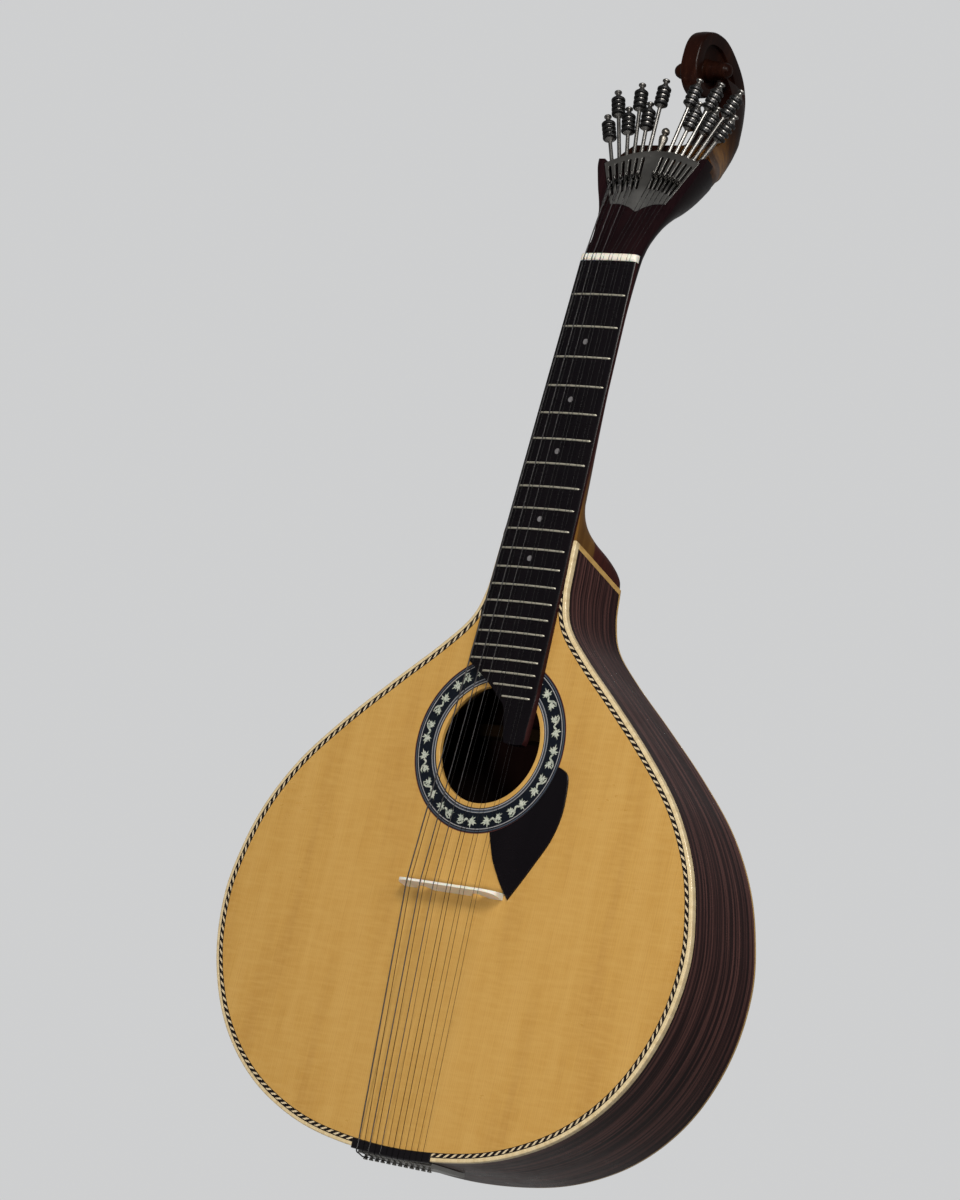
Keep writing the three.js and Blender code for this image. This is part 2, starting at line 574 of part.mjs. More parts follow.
let board = alongNeck([tongueEnd - OVERRUN, BODY_LENGTH, nutFace],
  (height) => camberStrip(height, boardHalfWidth(height), 0, boardFoot));
function fretHeight(number) {
  return NUT_HEIGHT_ON_BODY - STRING_LENGTH * (1 - 2 ** (-number / SEMITONES));
}
for (let number = 1; number <= FRET_COUNT; number++) {
  const middle = fretHeight(number);
  const half = boardHalfWidth(middle) - FRET_MARGIN;
  board = board.add(alongNeck([middle - FRET_WIDTH / 2, middle + FRET_WIDTH / 2],
    (height) => camberStrip(height, half, FRET_HEIGHT)));
}
const endHalf = boardHalfWidth(BOARD_END_HEIGHT);
const boardEnd = boardEndShares.map(
  ([side, down]) => new THREE.Vector2(side * endHalf, BODY_LENGTH - down * BOARD_OVER_BODY));
const boardPlan = [
  new THREE.Vector2(-BODY_HALF_WIDTH, SPAN), new THREE.Vector2(-BODY_HALF_WIDTH, boardEnd[0].y), ...boardEnd,
  new THREE.Vector2(BODY_HALF_WIDTH, boardEnd.at(-1).y), new THREE.Vector2(BODY_HALF_WIDTH, SPAN),
];
piece("fingerboard", board.intersect(solid(slab(boardPlan, -SPAN, SPAN))), "ebony");

// Neck, heel and head in one piece of wood: [x, y] sections at each height.
function neckFront(height) {
  return Math.max(boardFoot(height) + CLEARANCE, 0);
}
function roundSection(half, front, back, squareness) {
  const power = 1 - squareness;
  const side = Array.from({ length: SECTION_STEPS + 1 }, (_, i) => {
    const turn = (Math.PI / 2) * (i / SECTION_STEPS);
    return new THREE.Vector2(
      half * Math.max(Math.cos(turn), 0) ** power, front + (back - front) * Math.sin(turn) ** power);
  });
  side[SECTION_STEPS].x = 0;
  const mirrored = side.slice(0, -1).reverse().map((point) => new THREE.Vector2(-point.x, point.y));
  return [...side, ...mirrored];
}
const heelFoot = BODY_LENGTH - jointSlope * JOINT_DEPTH;
const neckSections = heelShares.map(([up, deep, wide, square]) => {
  const height = heelFoot + up * HEEL_LENGTH;
  const front = neckFront(height);
  const half = THREE.MathUtils.lerp(boardHalfWidth(height), HEEL_HALF_WIDTH, wide);
  const depth = THREE.MathUtils.lerp(NECK_DEPTH, HEEL_DEPTH - front, deep);
  return [height, roundSection(half, front, front + depth, square)];
});
const nutSeat = neckFront(NUT_HEIGHT_ON_BODY);
neckSections.push([
  NUT_HEIGHT_ON_BODY,
  roundSection(BOARD_HALF_WIDTH_AT_NUT, nutSeat, nutSeat + NECK_DEPTH_AT_NUT, heelShares.at(-1).at(-1)),
]);
const tiltSlope = Math.tan(radians(HEAD_TILT_DEGREES));
function headFront(height) {
  const low = NUT_THICKNESS + CLEARANCE;
  const plateFace = HEAD_SETBACK + tiltSlope * height;
  const footFace = HEAD_SETBACK + tiltSlope * PLATE_POINT_HEIGHT;
  const slope = THREE.MathUtils.mapLinear(height, low, PLATE_POINT_HEIGHT, nutSeat, footFace);
  return height < PLATE_POINT_HEIGHT ? Math.max(slope, nutSeat) : plateFace;
}
for (const [up, wide, deep] of headShares) {
  const height = up * HEAD_LENGTH;
  const back = deep * HEAD_BACK_DEPTH;
  const half = wide * HEAD_HALF_WIDTH;
  neckSections.push([NUT_HEIGHT_ON_BODY + height, roundSection(half, headFront(height), back, headSquareness)]);
}
const neckWood = solid(loft(neckSections.map(([, section]) => section),
  (point, i) => new THREE.Vector3(point.x, point.y, neckSections[i][0])));

// From the frame of the head to the frame of the body.
function onHead(geometry) {
  return geometry.rotateX(-radians(HEAD_TILT_DEGREES)).translate(0, HEAD_SETBACK, NUT_HEIGHT_ON_BODY);
}
function fanPoint(radius, degrees) {
  const turn = radians(degrees);
  return new THREE.Vector2(radius * Math.sin(turn), FAN_CENTRE_HEIGHT + radius * Math.cos(turn));
}
function fanArc(radius, halfDegrees) {
  return Array.from({ length: ARC_STEPS + 1 }, (_, i) =>
    fanPoint(radius, THREE.MathUtils.lerp(-halfDegrees, halfDegrees, i / ARC_STEPS)));
}
function plateOutline(grow) {
  const growDegrees = THREE.MathUtils.radToDeg(grow / PLATE_LOW_RADIUS);
  const half = FAN_HALF_ANGLE_DEGREES + growDegrees;
  const corner = fanPoint(PLATE_LOW_RADIUS - grow, half);
  const drop = corner.y - PLATE_POINT_HEIGHT + grow;
  const foot = plateFootShares.map(([side, down]) => new THREE.Vector2(side * corner.x, corner.y - down * drop));
  const mirrored = foot.slice().reverse().map((point) => new THREE.Vector2(-point.x, point.y));
  return [
    ...fanArc(PLATE_RADIUS + grow, half), corner, ...foot, new THREE.Vector2(0, corner.y - drop), ...mirrored,
    new THREE.Vector2(-corner.x, corner.y),
  ];
}
const pocket = slab(
  [...fanArc(PLATE_RADIUS + HEAD_LENGTH, MACHINE_POCKET_DEGREES),
    ...fanArc(LOWER_BAR_RADIUS - CLEARANCE, MACHINE_POCKET_DEGREES).reverse()],
  -HEAD_SETBACK, MACHINE_POCKET_DEPTH);
const plateRoom = slab(plateOutline(CLEARANCE), -HEAD_SETBACK, PLATE_THICKNESS + CLEARANCE);
const headTop = block(-SPAN, SPAN, -SPAN, SPAN, HEAD_LENGTH, SPAN);
const scrollRoom = block(-SPAN, SPAN, SCROLL_JOINT_DEPTH, SPAN, SCROLL_JOINT_HEIGHT, SPAN);
const tenon = solid(block(
  -TENON_HALF_WIDTH, TENON_HALF_WIDTH, soundboardFoot, TENON_DEPTH, BODY_LENGTH - TENON_LENGTH, BODY_LENGTH));
let neck = neckWood.intersect(aboveJoint(CLEARANCE / 2)).add(tenon);
for (const cut of [pocket, plateRoom, headTop, scrollRoom]) neck = neck.subtract(solid(onHead(cut)));
piece("neck", neck, "mahogany");

// Nut: a bone bar with a rounded crown, lowest at its ends.
const nutLow = NUT_HEIGHT_ON_BODY;
const nutHigh = NUT_HEIGHT_ON_BODY + NUT_THICKNESS;
const nutMiddle = (nutLow + nutHigh) / 2;
const nut = alongNeck([nutLow, nutMiddle, nutHigh], (height) => {
  const lift = height === nutMiddle ? NUT_HEIGHT : NUT_HEIGHT / 2;
  return camberStrip(nutLow, BOARD_HALF_WIDTH_AT_NUT, lift, () => nutSeat - CLEARANCE);
});
piece("nut", nut, "bone");

// Bridge: a thin bone bar on three feet.
const bridgeOutline = bridgeShares.map(([side, up]) =>
  new THREE.Vector2(side * BRIDGE_HALF_LENGTH, -CLEARANCE - up * (BRIDGE_HEIGHT - CLEARANCE)));
const bridge = new THREE.ExtrudeGeometry(
  new THREE.Shape(bridgeOutline), { depth: BRIDGE_THICKNESS, bevelEnabled: false });
piece("bridge", solid(bridge.translate(0, 0, BRIDGE_HEIGHT_ON_BODY - BRIDGE_THICKNESS / 2)), "bone");

// Places of one string across the instrument, counted from the bass side.
function inPairs(number, halfSpread, pairSpacing) {
  const pairs = STRING_DIAMETERS.length / STRINGS_PER_PAIR;
  const pair = Math.floor(number / STRINGS_PER_PAIR);
  const reach = halfSpread - pairSpacing / 2;
  const middle = THREE.MathUtils.lerp(-reach, reach, pair / (pairs - 1));
  return middle + (number % STRINGS_PER_PAIR - 1 / 2) * pairSpacing;
}
function evenly(number, halfSpread) {
  return THREE.MathUtils.lerp(-halfSpread, halfSpread, number / (STRING_DIAMETERS.length - 1));
}

// Tailpiece: a metal plate screwed to the tail block, with one headed pin for each string.
const plateBand = outline(-CLEARANCE);
const bandPoints = plateBand.filter((point) => Math.abs(point.x) < TAIL_PLATE_HALF_WIDTH && point.y < HEEL_LENGTH);
const bandEnd = plateBand[plateBand.indexOf(bandPoints[0]) - 1].clone();
const endShare = (TAIL_PLATE_HALF_WIDTH - bandPoints[0].x) / (bandEnd.x - bandPoints[0].x);
bandEnd.lerpVectors(bandPoints[0], bandEnd, endShare);
let tailpiece = solid(slab(
  [new THREE.Vector2(-TAIL_PLATE_HALF_WIDTH, -TAIL_FACE_DROP),
    new THREE.Vector2(TAIL_PLATE_HALF_WIDTH, -TAIL_FACE_DROP), bandEnd,
    ...bandPoints, new THREE.Vector2(-bandEnd.x, bandEnd.y)],
  TAIL_PLATE_TOP, TAIL_PLATE_BOTTOM));
const overLedge = block(
  -SPAN, SPAN, -OVERRUN, TAIL_FACE_TOP, -TAIL_FACE_DROP - OVERRUN, -TAIL_FACE_DROP + PIN_LEDGE_STEP);
tailpiece = tailpiece.subtract(solid(overLedge));
const pinShaft = TAIL_PLATE_THICKNESS - PIN_LEDGE_STEP;
STRING_DIAMETERS.forEach((_, number) => {
  const pin = turned([
    [0, pinShaft], [PIN_RADIUS, pinShaft], [PIN_RADIUS, -PIN_LENGTH + PIN_HEAD_LENGTH],
    [PIN_HEAD_RADIUS, -PIN_LENGTH + PIN_HEAD_LENGTH], [PIN_HEAD_RADIUS, -PIN_LENGTH], [0, -PIN_LENGTH],
  ], BORE_SIDES);
  const side = evenly(number, STRING_HALF_SPREAD_AT_TAIL);
  tailpiece = tailpiece.add(solid(pin.translate(side, PIN_DEPTH, -TAIL_FACE_DROP)));
});
piece("tailpiece", tailpiece, "plate");

// Scroll: stem and root first, as sections that narrow from the head to the back of the volute.
const stemSections = stemShares.map(([up, wide, front, deep, square]) => [
  SCROLL_JOINT_HEIGHT + up * STEM_RISE,
  roundSection(wide * STEM_HALF_WIDTH, front * STEM_BACK_DEPTH, deep * STEM_BACK_DEPTH, square),
]);
const stem = solid(loft(stemSections.map(([, section]) => section),
  (point, i) => new THREE.Vector3(point.x, point.y, NUT_HEIGHT_ON_BODY + stemSections[i][0])));

// Volute: a rim that winds in round the eye, a thin web inside it and the turned eye itself.
function voluteAt(shares, share) {
  const place = share * (shares.length - 1);
  const low = Math.min(Math.floor(place), shares.length - 2);
  return VOLUTE_RADIUS * THREE.MathUtils.lerp(shares[low], shares[low + 1], place - low);
}
function volutePoint(radius, share, side) {
  const turn = radians(share * VOLUTE_TURN_DEGREES - VOLUTE_LEAD_DEGREES);
  const eye = NUT_HEIGHT_ON_BODY + EYE_HEIGHT;
  return new THREE.Vector3(side, EYE_DEPTH + radius * Math.cos(turn), eye + radius * Math.sin(turn));
}
const turnShares = Array.from({ length: VOLUTE_STEPS + 1 }, (_, i) => i / VOLUTE_STEPS);
const rimSections = turnShares.map((share) => {
  const outer = voluteAt(volutePathShares, share);
  const inner = outer - voluteAt(voluteRimShares, share);
  const round = (outer - inner) * rimRoundShare;
  const edge = VOLUTE_HALF_WIDTH - round;
  return [
    [outer, -edge], [outer, edge], [outer - round, VOLUTE_HALF_WIDTH], [inner, VOLUTE_HALF_WIDTH],
    [inner, -VOLUTE_HALF_WIDTH], [outer - round, -VOLUTE_HALF_WIDTH],
  ].map(([radius, side]) => new THREE.Vector2(radius, side));
});
const rim = solid(loft(rimSections, (point, i) => volutePoint(point.x, turnShares[i], point.y)));
const webShares = turnShares.filter((share) => share > 0 && share * VOLUTE_TURN_DEGREES < FULL_TURN_DEGREES);
const webLines = [-WEB_HALF_THICKNESS, WEB_HALF_THICKNESS].map((side) => webShares.map((share) => {
  const radius = voluteAt(volutePathShares, share) - voluteAt(voluteRimShares, share) / 2;
  return volutePoint(radius, share, side);
}));
const webFlat = webLines[0].map((point) => new THREE.Vector2(point.y, point.z));
const web = solid(loft([webFlat, webFlat], (point, i) => webLines[i][webFlat.indexOf(point)]));
const eyeProfile = eyeShares.map(([wide, out]) => [wide * EYE_RADIUS, out * EYE_HALF_LENGTH]);
const eyeMirror = eyeProfile.map(([radius, out]) => [radius, -out]);
const eyeEnds = [[0, EYE_HALF_LENGTH], ...eyeProfile.reverse(), ...eyeMirror, [0, -EYE_HALF_LENGTH]];
const eye = turned(eyeEnds, EYE_SIDES)
  .rotateY(Math.PI / 2)
  .translate(0, EYE_DEPTH, NUT_HEIGHT_ON_BODY + EYE_HEIGHT);
const belowScroll = block(-SPAN, SPAN, -SPAN, SPAN, -SPAN, SCROLL_JOINT_HEIGHT + CLEARANCE);
const beforeRoot = block(
  -SPAN, SPAN, -SPAN, SCROLL_JOINT_DEPTH + CLEARANCE, -SPAN, SCROLL_JOINT_HEIGHT + ROOT_FRONT_LENGTH);
const scroll = stem.add(rim).add(web).add(solid(eye))
  .subtract(solid(onHead(belowScroll)))
  .subtract(solid(onHead(beforeRoot)));
piece("scroll", scroll, "figured");

// Tuner plate: slotted face, upper flange that carries the rods and lower bar that holds their tips.
const tunerDegrees = Array.from({ length: TUNERS_PER_SIDE }, (_, i) => FIRST_TUNER_DEGREES + i * TUNER_STEP_DEGREES);
const tuners = [
  ...tunerDegrees.map((degrees, i) => ({ degrees: -degrees, long: i % 2 === 0 })).reverse(),
  ...tunerDegrees.map((degrees, i) => ({ degrees, long: i % 2 === 0 })),
];
function onFan(geometry, degrees) {
  return geometry.rotateY(radians(degrees)).translate(0, 0, FAN_CENTRE_HEIGHT);
}
function slotShape() {
  const half = SLOT_WIDTH / 2;
  const path = new THREE.Path();
  path.absarc(0, SLOT_END_RADIUS - half, half, 0, Math.PI);
  path.absarc(0, SLOT_START_RADIUS + half, half, Math.PI, 2 * Math.PI);
  return path.getPoints(SLOT_END_STEPS);
}
const face = solid(slab(plateOutline(0), 0, PLATE_THICKNESS));
function bentEdge(radius, thickness) {
  const half = MACHINE_POCKET_DEGREES - THREE.MathUtils.radToDeg(CLEARANCE / LOWER_BAR_RADIUS);
  const arcs = [...fanArc(radius, half), ...fanArc(radius - thickness, half).reverse()];
  return solid(slab(arcs, PLATE_THICKNESS / 2, FLANGE_DEPTH));
}
const flange = bentEdge(PLATE_RADIUS, FLANGE_THICKNESS);
const lowerBar = bentEdge(LOWER_BAR_RADIUS + LOWER_BAR_THICKNESS, LOWER_BAR_THICKNESS);
let tunerPlate = face.add(flange).add(lowerBar);
const boreDiameter = THREAD_DIAMETER + CLEARANCE + CLEARANCE;
for (const { degrees } of tuners) {
  const hole = bore(boreDiameter, LOWER_BAR_RADIUS - OVERRUN, PLATE_RADIUS + OVERRUN, BORE_SIDES);
  const slot = slab(slotShape(), -OVERRUN, OVERRUN - PLATE_THICKNESS);
  tunerPlate = tunerPlate
    .subtract(solid(onFan(hole.translate(0, ROD_DEPTH, 0), degrees)))
    .subtract(solid(onFan(slot, degrees)));
}
const head = new THREE.Group();
head.position.set(0, HEAD_SETBACK, NUT_HEIGHT_ON_BODY);
head.rotation.x = -radians(HEAD_TILT_DEGREES);
instrument.add(head);
piece("tuner_plate", tunerPlate, "plate", head);
const finialProfile = finialShares.map(([wide, up]) => [wide * FINIAL_RADIUS, up * FINIAL_HEIGHT]);
const finial = turned([[0, 0], ...finialProfile, [0, FINIAL_HEIGHT]], FINIAL_SIDES);
const flangeTop = FAN_CENTRE_HEIGHT + PLATE_RADIUS + CLEARANCE;
piece("finial_post", solid(finial.translate(0, ROD_DEPTH, flangeTop)), "brass", head);

// One knob on its rod: the thin threaded end hangs in the flange and the thick part rests on it.
function knob(start) {
  const thread = THREAD_DIAMETER / 2;
  const rod = ROD_DIAMETER / 2;
  const shoulder = PLATE_RADIUS + CLEARANCE;
  const profile = [[0, LOWER_BAR_RADIUS], [thread, LOWER_BAR_RADIUS], [thread, shoulder], [rod, shoulder], [rod, start]];
  const full = KNOB_DIAMETER / 2;
  const pitch = KNOB_BARREL_LENGTH / KNOB_RINGS;
  profile.push([full * ringGrooveShare, start]);
  for (let ring = 0; ring < KNOB_RINGS; ring++)
    profile.push(
      [full, start + (ring + 1 / 2) * pitch],
      [full * ringGrooveShare, start + (ring + 1) * pitch]);
  const crownFoot = start + KNOB_BARREL_LENGTH;
  for (const [wide, up] of crownShares) profile.push([wide * full, crownFoot + up * KNOB_CROWN_LENGTH]);
  profile.push([0, crownFoot + KNOB_CROWN_LENGTH]);
  return turned(profile, KNOB_SIDES);
}

// One hook, at the rod's axis: x across the fan, y behind the plate, z along the rod.
function hook() {
  const blockHalf = HOOK_BLOCK_WIDTH / 2;
  const blockFront = ROD_DEPTH - HOOK_BLOCK_DEPTH / 2;
  const blockBack = ROD_DEPTH + HOOK_BLOCK_DEPTH / 2;
  const half = HOOK_BLOCK_LENGTH / 2;
  const neckHalf = HOOK_NECK_WIDTH / 2;
  const neckLong = HOOK_NECK_LENGTH / 2;
  const horn = new THREE.SplineCurve(hornShares.map(([out, up]) =>
    new THREE.Vector2(-out * HOOK_HORN_REACH, up * HOOK_HORN_RISE))).getPoints(HORN_STEPS);
  const route = new THREE.CatmullRomCurve3(horn.map((point) => new THREE.Vector3(0, point.x, point.y)));
  const ring = new THREE.Shape(circlePoints(HOOK_HORN_DIAMETER / 2, 0, STRING_SIDES));
  const tube = new THREE.ExtrudeGeometry(ring, { steps: HORN_STEPS, extrudePath: route, bevelEnabled: false });
  return solid(block(-blockHalf, blockHalf, blockFront, blockBack, -half, half))
    .subtract(solid(bore(boreDiameter, -OVERRUN, OVERRUN, BORE_SIDES).translate(0, ROD_DEPTH, 0)))
    .add(solid(block(-neckHalf, neckHalf, -HOOK_NECK_PROUD, blockFront + CLEARANCE, -neckLong, neckLong)))
    .add(solid(tube.translate(0, 0, -neckLong / 2)));
}

// A route that a tube follows from point to point.
class Route extends THREE.Curve {
  constructor(points) {
    super();
    this.points = points;
  }
  getPoint(share) {
    const place = share * (this.points.length - 1);
    const low = Math.min(Math.floor(place), this.points.length - 2);
    return this.points[low].clone().lerp(this.points[low + 1], place - low);
  }
  getUtoTmapping(share) {
    return share;
  }
}

// One string: from its pin over the saddle, the bridge and the nut to its hook.
head.updateMatrixWorld(true);
function stringSolid(number, degrees) {
  const radius = STRING_DIAMETERS[number] / 2;
  const off = radius + CLEARANCE;
  const tail = evenly(number, STRING_HALF_SPREAD_AT_TAIL);
  const onBridge = inPairs(number, STRING_HALF_SPREAD_AT_BRIDGE, PAIR_SPACING_AT_BRIDGE);
  const onNut = inPairs(number, STRING_HALF_SPREAD_AT_NUT, PAIR_SPACING_AT_NUT);
  const pinTop = PIN_DEPTH - PIN_RADIUS - off;
  const bridgeTop = -BRIDGE_HEIGHT - off;
  const nutTop = boardFront(NUT_HEIGHT_ON_BODY, onNut) - NUT_HEIGHT - off;
  const hookNeck = HOOK_RADIUS - HOOK_NECK_LENGTH / 2 - HOOK_HORN_DIAMETER;
  const end = new THREE.Vector3(0, -HOOK_NECK_PROUD - radius, hookNeck - off)
    .applyAxisAngle(new THREE.Vector3(0, 1, 0), radians(degrees))
    .add(new THREE.Vector3(0, 0, FAN_CENTRE_HEIGHT));
  const route = new Route([
    new THREE.Vector3(tail, pinTop, -TAIL_FACE_DROP - pinStringShare * PIN_LENGTH),
    new THREE.Vector3(tail, SADDLE_DEPTH, -TAIL_FACE_DROP - off),
    new THREE.Vector3(tail, -SADDLE_PROUD - off, -SADDLE_PROUD - off),
    new THREE.Vector3(tail, -SADDLE_PROUD - off - CLEARANCE, SADDLE_HEIGHT),
    new THREE.Vector3(onBridge, bridgeTop, BRIDGE_HEIGHT_ON_BODY - BRIDGE_THICKNESS / 2),
    new THREE.Vector3(onBridge, bridgeTop, BRIDGE_HEIGHT_ON_BODY + BRIDGE_THICKNESS / 2),
    new THREE.Vector3(onNut, nutTop, NUT_HEIGHT_ON_BODY),
    new THREE.Vector3(onNut, nutTop, NUT_HEIGHT_ON_BODY + NUT_THICKNESS + CLEARANCE),
    head.localToWorld(end),
  ]);
  const ring = new THREE.Shape(circlePoints(radius, 0, STRING_SIDES));
  const steps = route.points.length - 1;
  return solid(new THREE.ExtrudeGeometry(ring, { steps, extrudePath: route, bevelEnabled: false }));
}

tuners.forEach(({ degrees, long }, number) => {
  const label = String(number + 1).padStart(2, "0");
  const ray = new THREE.Group();
  ray.position.z = FAN_CENTRE_HEIGHT;
  ray.rotation.y = radians(degrees);
  head.add(ray);
  const start = long ? LONG_KNOB_RADIUS : SHORT_KNOB_RADIUS;
  piece(`tuner_knob_${label}`, solid(knob(start).translate(0, ROD_DEPTH, 0)), "dark_steel", ray);
  piece(`hook_${label}`, hook().translate([0, 0, HOOK_RADIUS]), "steel", ray);
  piece(`string_${label}`, stringSolid(number, degrees), "steel");
});

// The origin is the middle of the flat outer face of the tailpiece.
instrument.position.set(0, -(TAIL_FACE_TOP + TAIL_PLATE_BOTTOM) / 2, TAIL_FACE_DROP);
instrument.updateMatrixWorld(true);

export default instrument;
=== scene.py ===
import math

import bmesh
import bpy
from mathutils import Matrix, Vector, geometry


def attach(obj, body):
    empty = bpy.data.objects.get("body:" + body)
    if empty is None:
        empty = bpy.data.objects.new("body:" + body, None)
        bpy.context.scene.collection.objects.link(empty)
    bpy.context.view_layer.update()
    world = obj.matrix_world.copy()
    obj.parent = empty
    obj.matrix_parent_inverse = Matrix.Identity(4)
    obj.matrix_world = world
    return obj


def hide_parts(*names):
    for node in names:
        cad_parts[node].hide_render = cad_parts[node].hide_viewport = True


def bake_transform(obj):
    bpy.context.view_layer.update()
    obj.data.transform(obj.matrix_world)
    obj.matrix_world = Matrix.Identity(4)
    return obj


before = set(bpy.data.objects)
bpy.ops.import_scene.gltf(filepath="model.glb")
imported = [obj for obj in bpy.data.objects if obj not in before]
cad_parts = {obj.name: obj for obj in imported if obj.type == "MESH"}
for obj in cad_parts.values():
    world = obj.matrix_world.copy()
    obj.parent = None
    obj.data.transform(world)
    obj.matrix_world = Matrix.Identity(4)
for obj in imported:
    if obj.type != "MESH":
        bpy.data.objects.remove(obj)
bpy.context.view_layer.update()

# Camera: stands low on the treble side of the lower end and looks up along the strings, a little rolled.
# Its place and its long lens were fitted to the frets, the outline and the depth of the ribs.
camera_data = bpy.data.cameras.new("camera")
camera_data.lens = 120
camera_data.sensor_width = 36
camera_data.clip_end = 60
camera = bpy.data.objects.new("camera", camera_data)
bpy.context.collection.objects.link(camera)
camera_right = Vector((0.787586, 0.570377, 0.233193))
camera_down = Vector((0.073064, 0.289325, -0.954438))
camera_ahead = Vector((-0.611858, 0.768740, 0.186195))
camera_turn = Matrix((camera_right, -camera_down, -camera_ahead)).transposed().to_4x4()
camera.matrix_world = Matrix.Translation((1.62028, -2.11082, -0.12439)) @ camera_turn
bpy.context.scene.camera = camera

# Studio: a pale surround that mirrors faintly and only from behind, a pale round floor that fades out, and
# four soft lamps: the key in front on the treble side, a weaker one beside it, one behind, a low one in front.
bpy.context.scene.view_settings.view_transform = "Standard"
BACKDROP_TONE = (0.62, 0.625, 0.63, 1)
MIRRORED_SURROUND = 0.18
MIRRORED_FLOOR = 0.25
FLOOR_RADIUS = 3.2
FLOOR_HEIGHT = -0.42
FLOOR_SIDES = 96


def add(tree, kind, inputs=None, **settings):
    node = tree.nodes.new(kind)
    for key, value in settings.items():
        setattr(node, key, value)
    for key, value in (inputs or {}).items():
        if isinstance(value, bpy.types.NodeSocket):
            tree.links.new(value, node.inputs[key])
        else:
            node.inputs[key].default_value = value
    return node


def empty_tree(owner):
    owner.use_nodes = True
    owner.node_tree.nodes.clear()
    return owner.node_tree


def math_node(tree, operation, a, b=0.0, c=0.0, clamp=False):
    return add(tree, "ShaderNodeMath", {0: a, 1: b, 2: c}, operation=operation, use_clamp=clamp).outputs[0]


def split_axes(tree, vector):
    return add(tree, "ShaderNodeSeparateXYZ", {0: vector}).outputs


def map_range(tree, value, low, high, to_low=0.0, to_high=1.0, smooth=False):
    ends = {"Value": value, "From Min": low, "From Max": high, "To Min": to_low, "To Max": to_high}
    return add(tree, "ShaderNodeMapRange", ends, interpolation_type="SMOOTHSTEP" if smooth else "LINEAR").outputs[0]


surround = bpy.data.worlds.new("surround")
tree = empty_tree(surround)
ray = add(tree, "ShaderNodeLightPath").outputs
seen_y = split_axes(tree, add(tree, "ShaderNodeTexCoord").outputs["Generated"])["Y"]
dim_light = add(tree, "ShaderNodeBackground", {"Color": (1.0, 0.985, 0.96, 1),
                                               "Strength": map_range(tree, seen_y, -0.5, 0.75, 0.07, 0.1, True)})
pale_light = add(tree, "ShaderNodeBackground", {"Color": BACKDROP_TONE, "Strength": 1.0})
mirror_ray = math_node(tree, "MAXIMUM", ray["Is Glossy Ray"], ray["Is Transmission Ray"])
mirror_share = math_node(tree, "MULTIPLY", mirror_ray, map_range(tree, seen_y, -0.1, 0.9, 0.0, MIRRORED_SURROUND, True))
pale_share = math_node(tree, "MAXIMUM", ray["Is Camera Ray"], mirror_share)
seen_light = add(tree, "ShaderNodeMixShader", {0: pale_share, 1: dim_light.outputs[0], 2: pale_light.outputs[0]})
add(tree, "ShaderNodeOutputWorld", {"Surface": seen_light.outputs[0]})
bpy.context.scene.world = surround

floor_mesh = bpy.data.meshes.new("floor")
floor_turns = [i * 2 * math.pi / FLOOR_SIDES for i in range(FLOOR_SIDES)]
floor_mesh.from_pydata([(FLOOR_RADIUS * math.cos(t), FLOOR_RADIUS * math.sin(t), FLOOR_HEIGHT) for t in floor_turns],
                       [], [tuple(range(FLOOR_SIDES))])
floor = bpy.data.objects.new("floor", floor_mesh)
bpy.context.collection.objects.link(floor)
floor_paint = bpy.data.materials.new("floor_paint")
tree = empty_tree(floor_paint)
floor_place = add(tree, "ShaderNodeTexCoord").outputs["Object"]
flat_place = add(tree, "ShaderNodeVectorMath", {0: floor_place, 1: (1.0, 1.0, 0.0)}, operation="MULTIPLY").outputs[0]
floor_reach = add(tree, "ShaderNodeVectorMath", {0: flat_place}, operation="LENGTH").outputs["Value"]
ray = add(tree, "ShaderNodeLightPath").outputs
floor_matt = add(tree, "ShaderNodeBsdfDiffuse", {"Color": map_range(tree, ray["Is Camera Ray"], 0.0, 1.0, 0.26, 0.7)})
floor_pale = add(tree, "ShaderNodeEmission", {"Color": BACKDROP_TONE, "Strength": 0.93})
floor_gloss = math_node(tree, "MULTIPLY", ray["Is Glossy Ray"], MIRRORED_FLOOR)
pale_share = math_node(tree, "MULTIPLY", math_node(tree, "MAXIMUM", ray["Is Camera Ray"], floor_gloss), 0.62)
floor_seen = add(tree, "ShaderNodeMixShader", {0: pale_share, 1: floor_matt.outputs[0], 2: floor_pale.outputs[0]})
floor_clear = add(tree, "ShaderNodeBsdfTransparent")
floor_mix = add(tree, "ShaderNodeMixShader", {0: map_range(tree, floor_reach, 0.7, 3.0, smooth=True),
                                              1: floor_seen.outputs[0], 2: floor_clear.outputs[0]})
add(tree, "ShaderNodeOutputMaterial", {"Surface": floor_mix.outputs[0]})
floor_mesh.materials.append(floor_paint)


def soft_lamp(name, spot, aim, size, watts, tint, mirrored=True):
    lamp_data = bpy.data.lights.new(name, "AREA")
    lamp_data.shape = "DISK"
    lamp_data.size = size
    lamp_data.energy = watts
    lamp_data.color = tint
    lamp = bpy.data.objects.new(name, lamp_data)
    bpy.context.collection.objects.link(lamp)
    lamp.location = spot
    lamp.rotation_mode = "QUATERNION"
    lamp.rotation_quaternion = (Vector(aim) - Vector(spot)).to_track_quat("-Z", "Y")
    lamp.visible_glossy = mirrored


soft_lamp("lamp_key", (1.0, -1.5, 1.45), (0, 0, 0.35), 0.8, 28, (1.0, 0.97, 0.92))
soft_lamp("lamp_right", (2.7, -1.0, 1.1), (0, 0, 0.35), 0.9, 17, (1.0, 0.97, 0.93))
soft_lamp("lamp_back", (-1.2, 2.7, 1.9), (0, 0, 0.35), 1.0, 55, (1.0, 0.98, 0.95), False)
soft_lamp("lamp_front", (0.15, -1.9, -0.33), (0, 0, 0.25), 0.6, 22, (1.0, 0.97, 0.93), False)

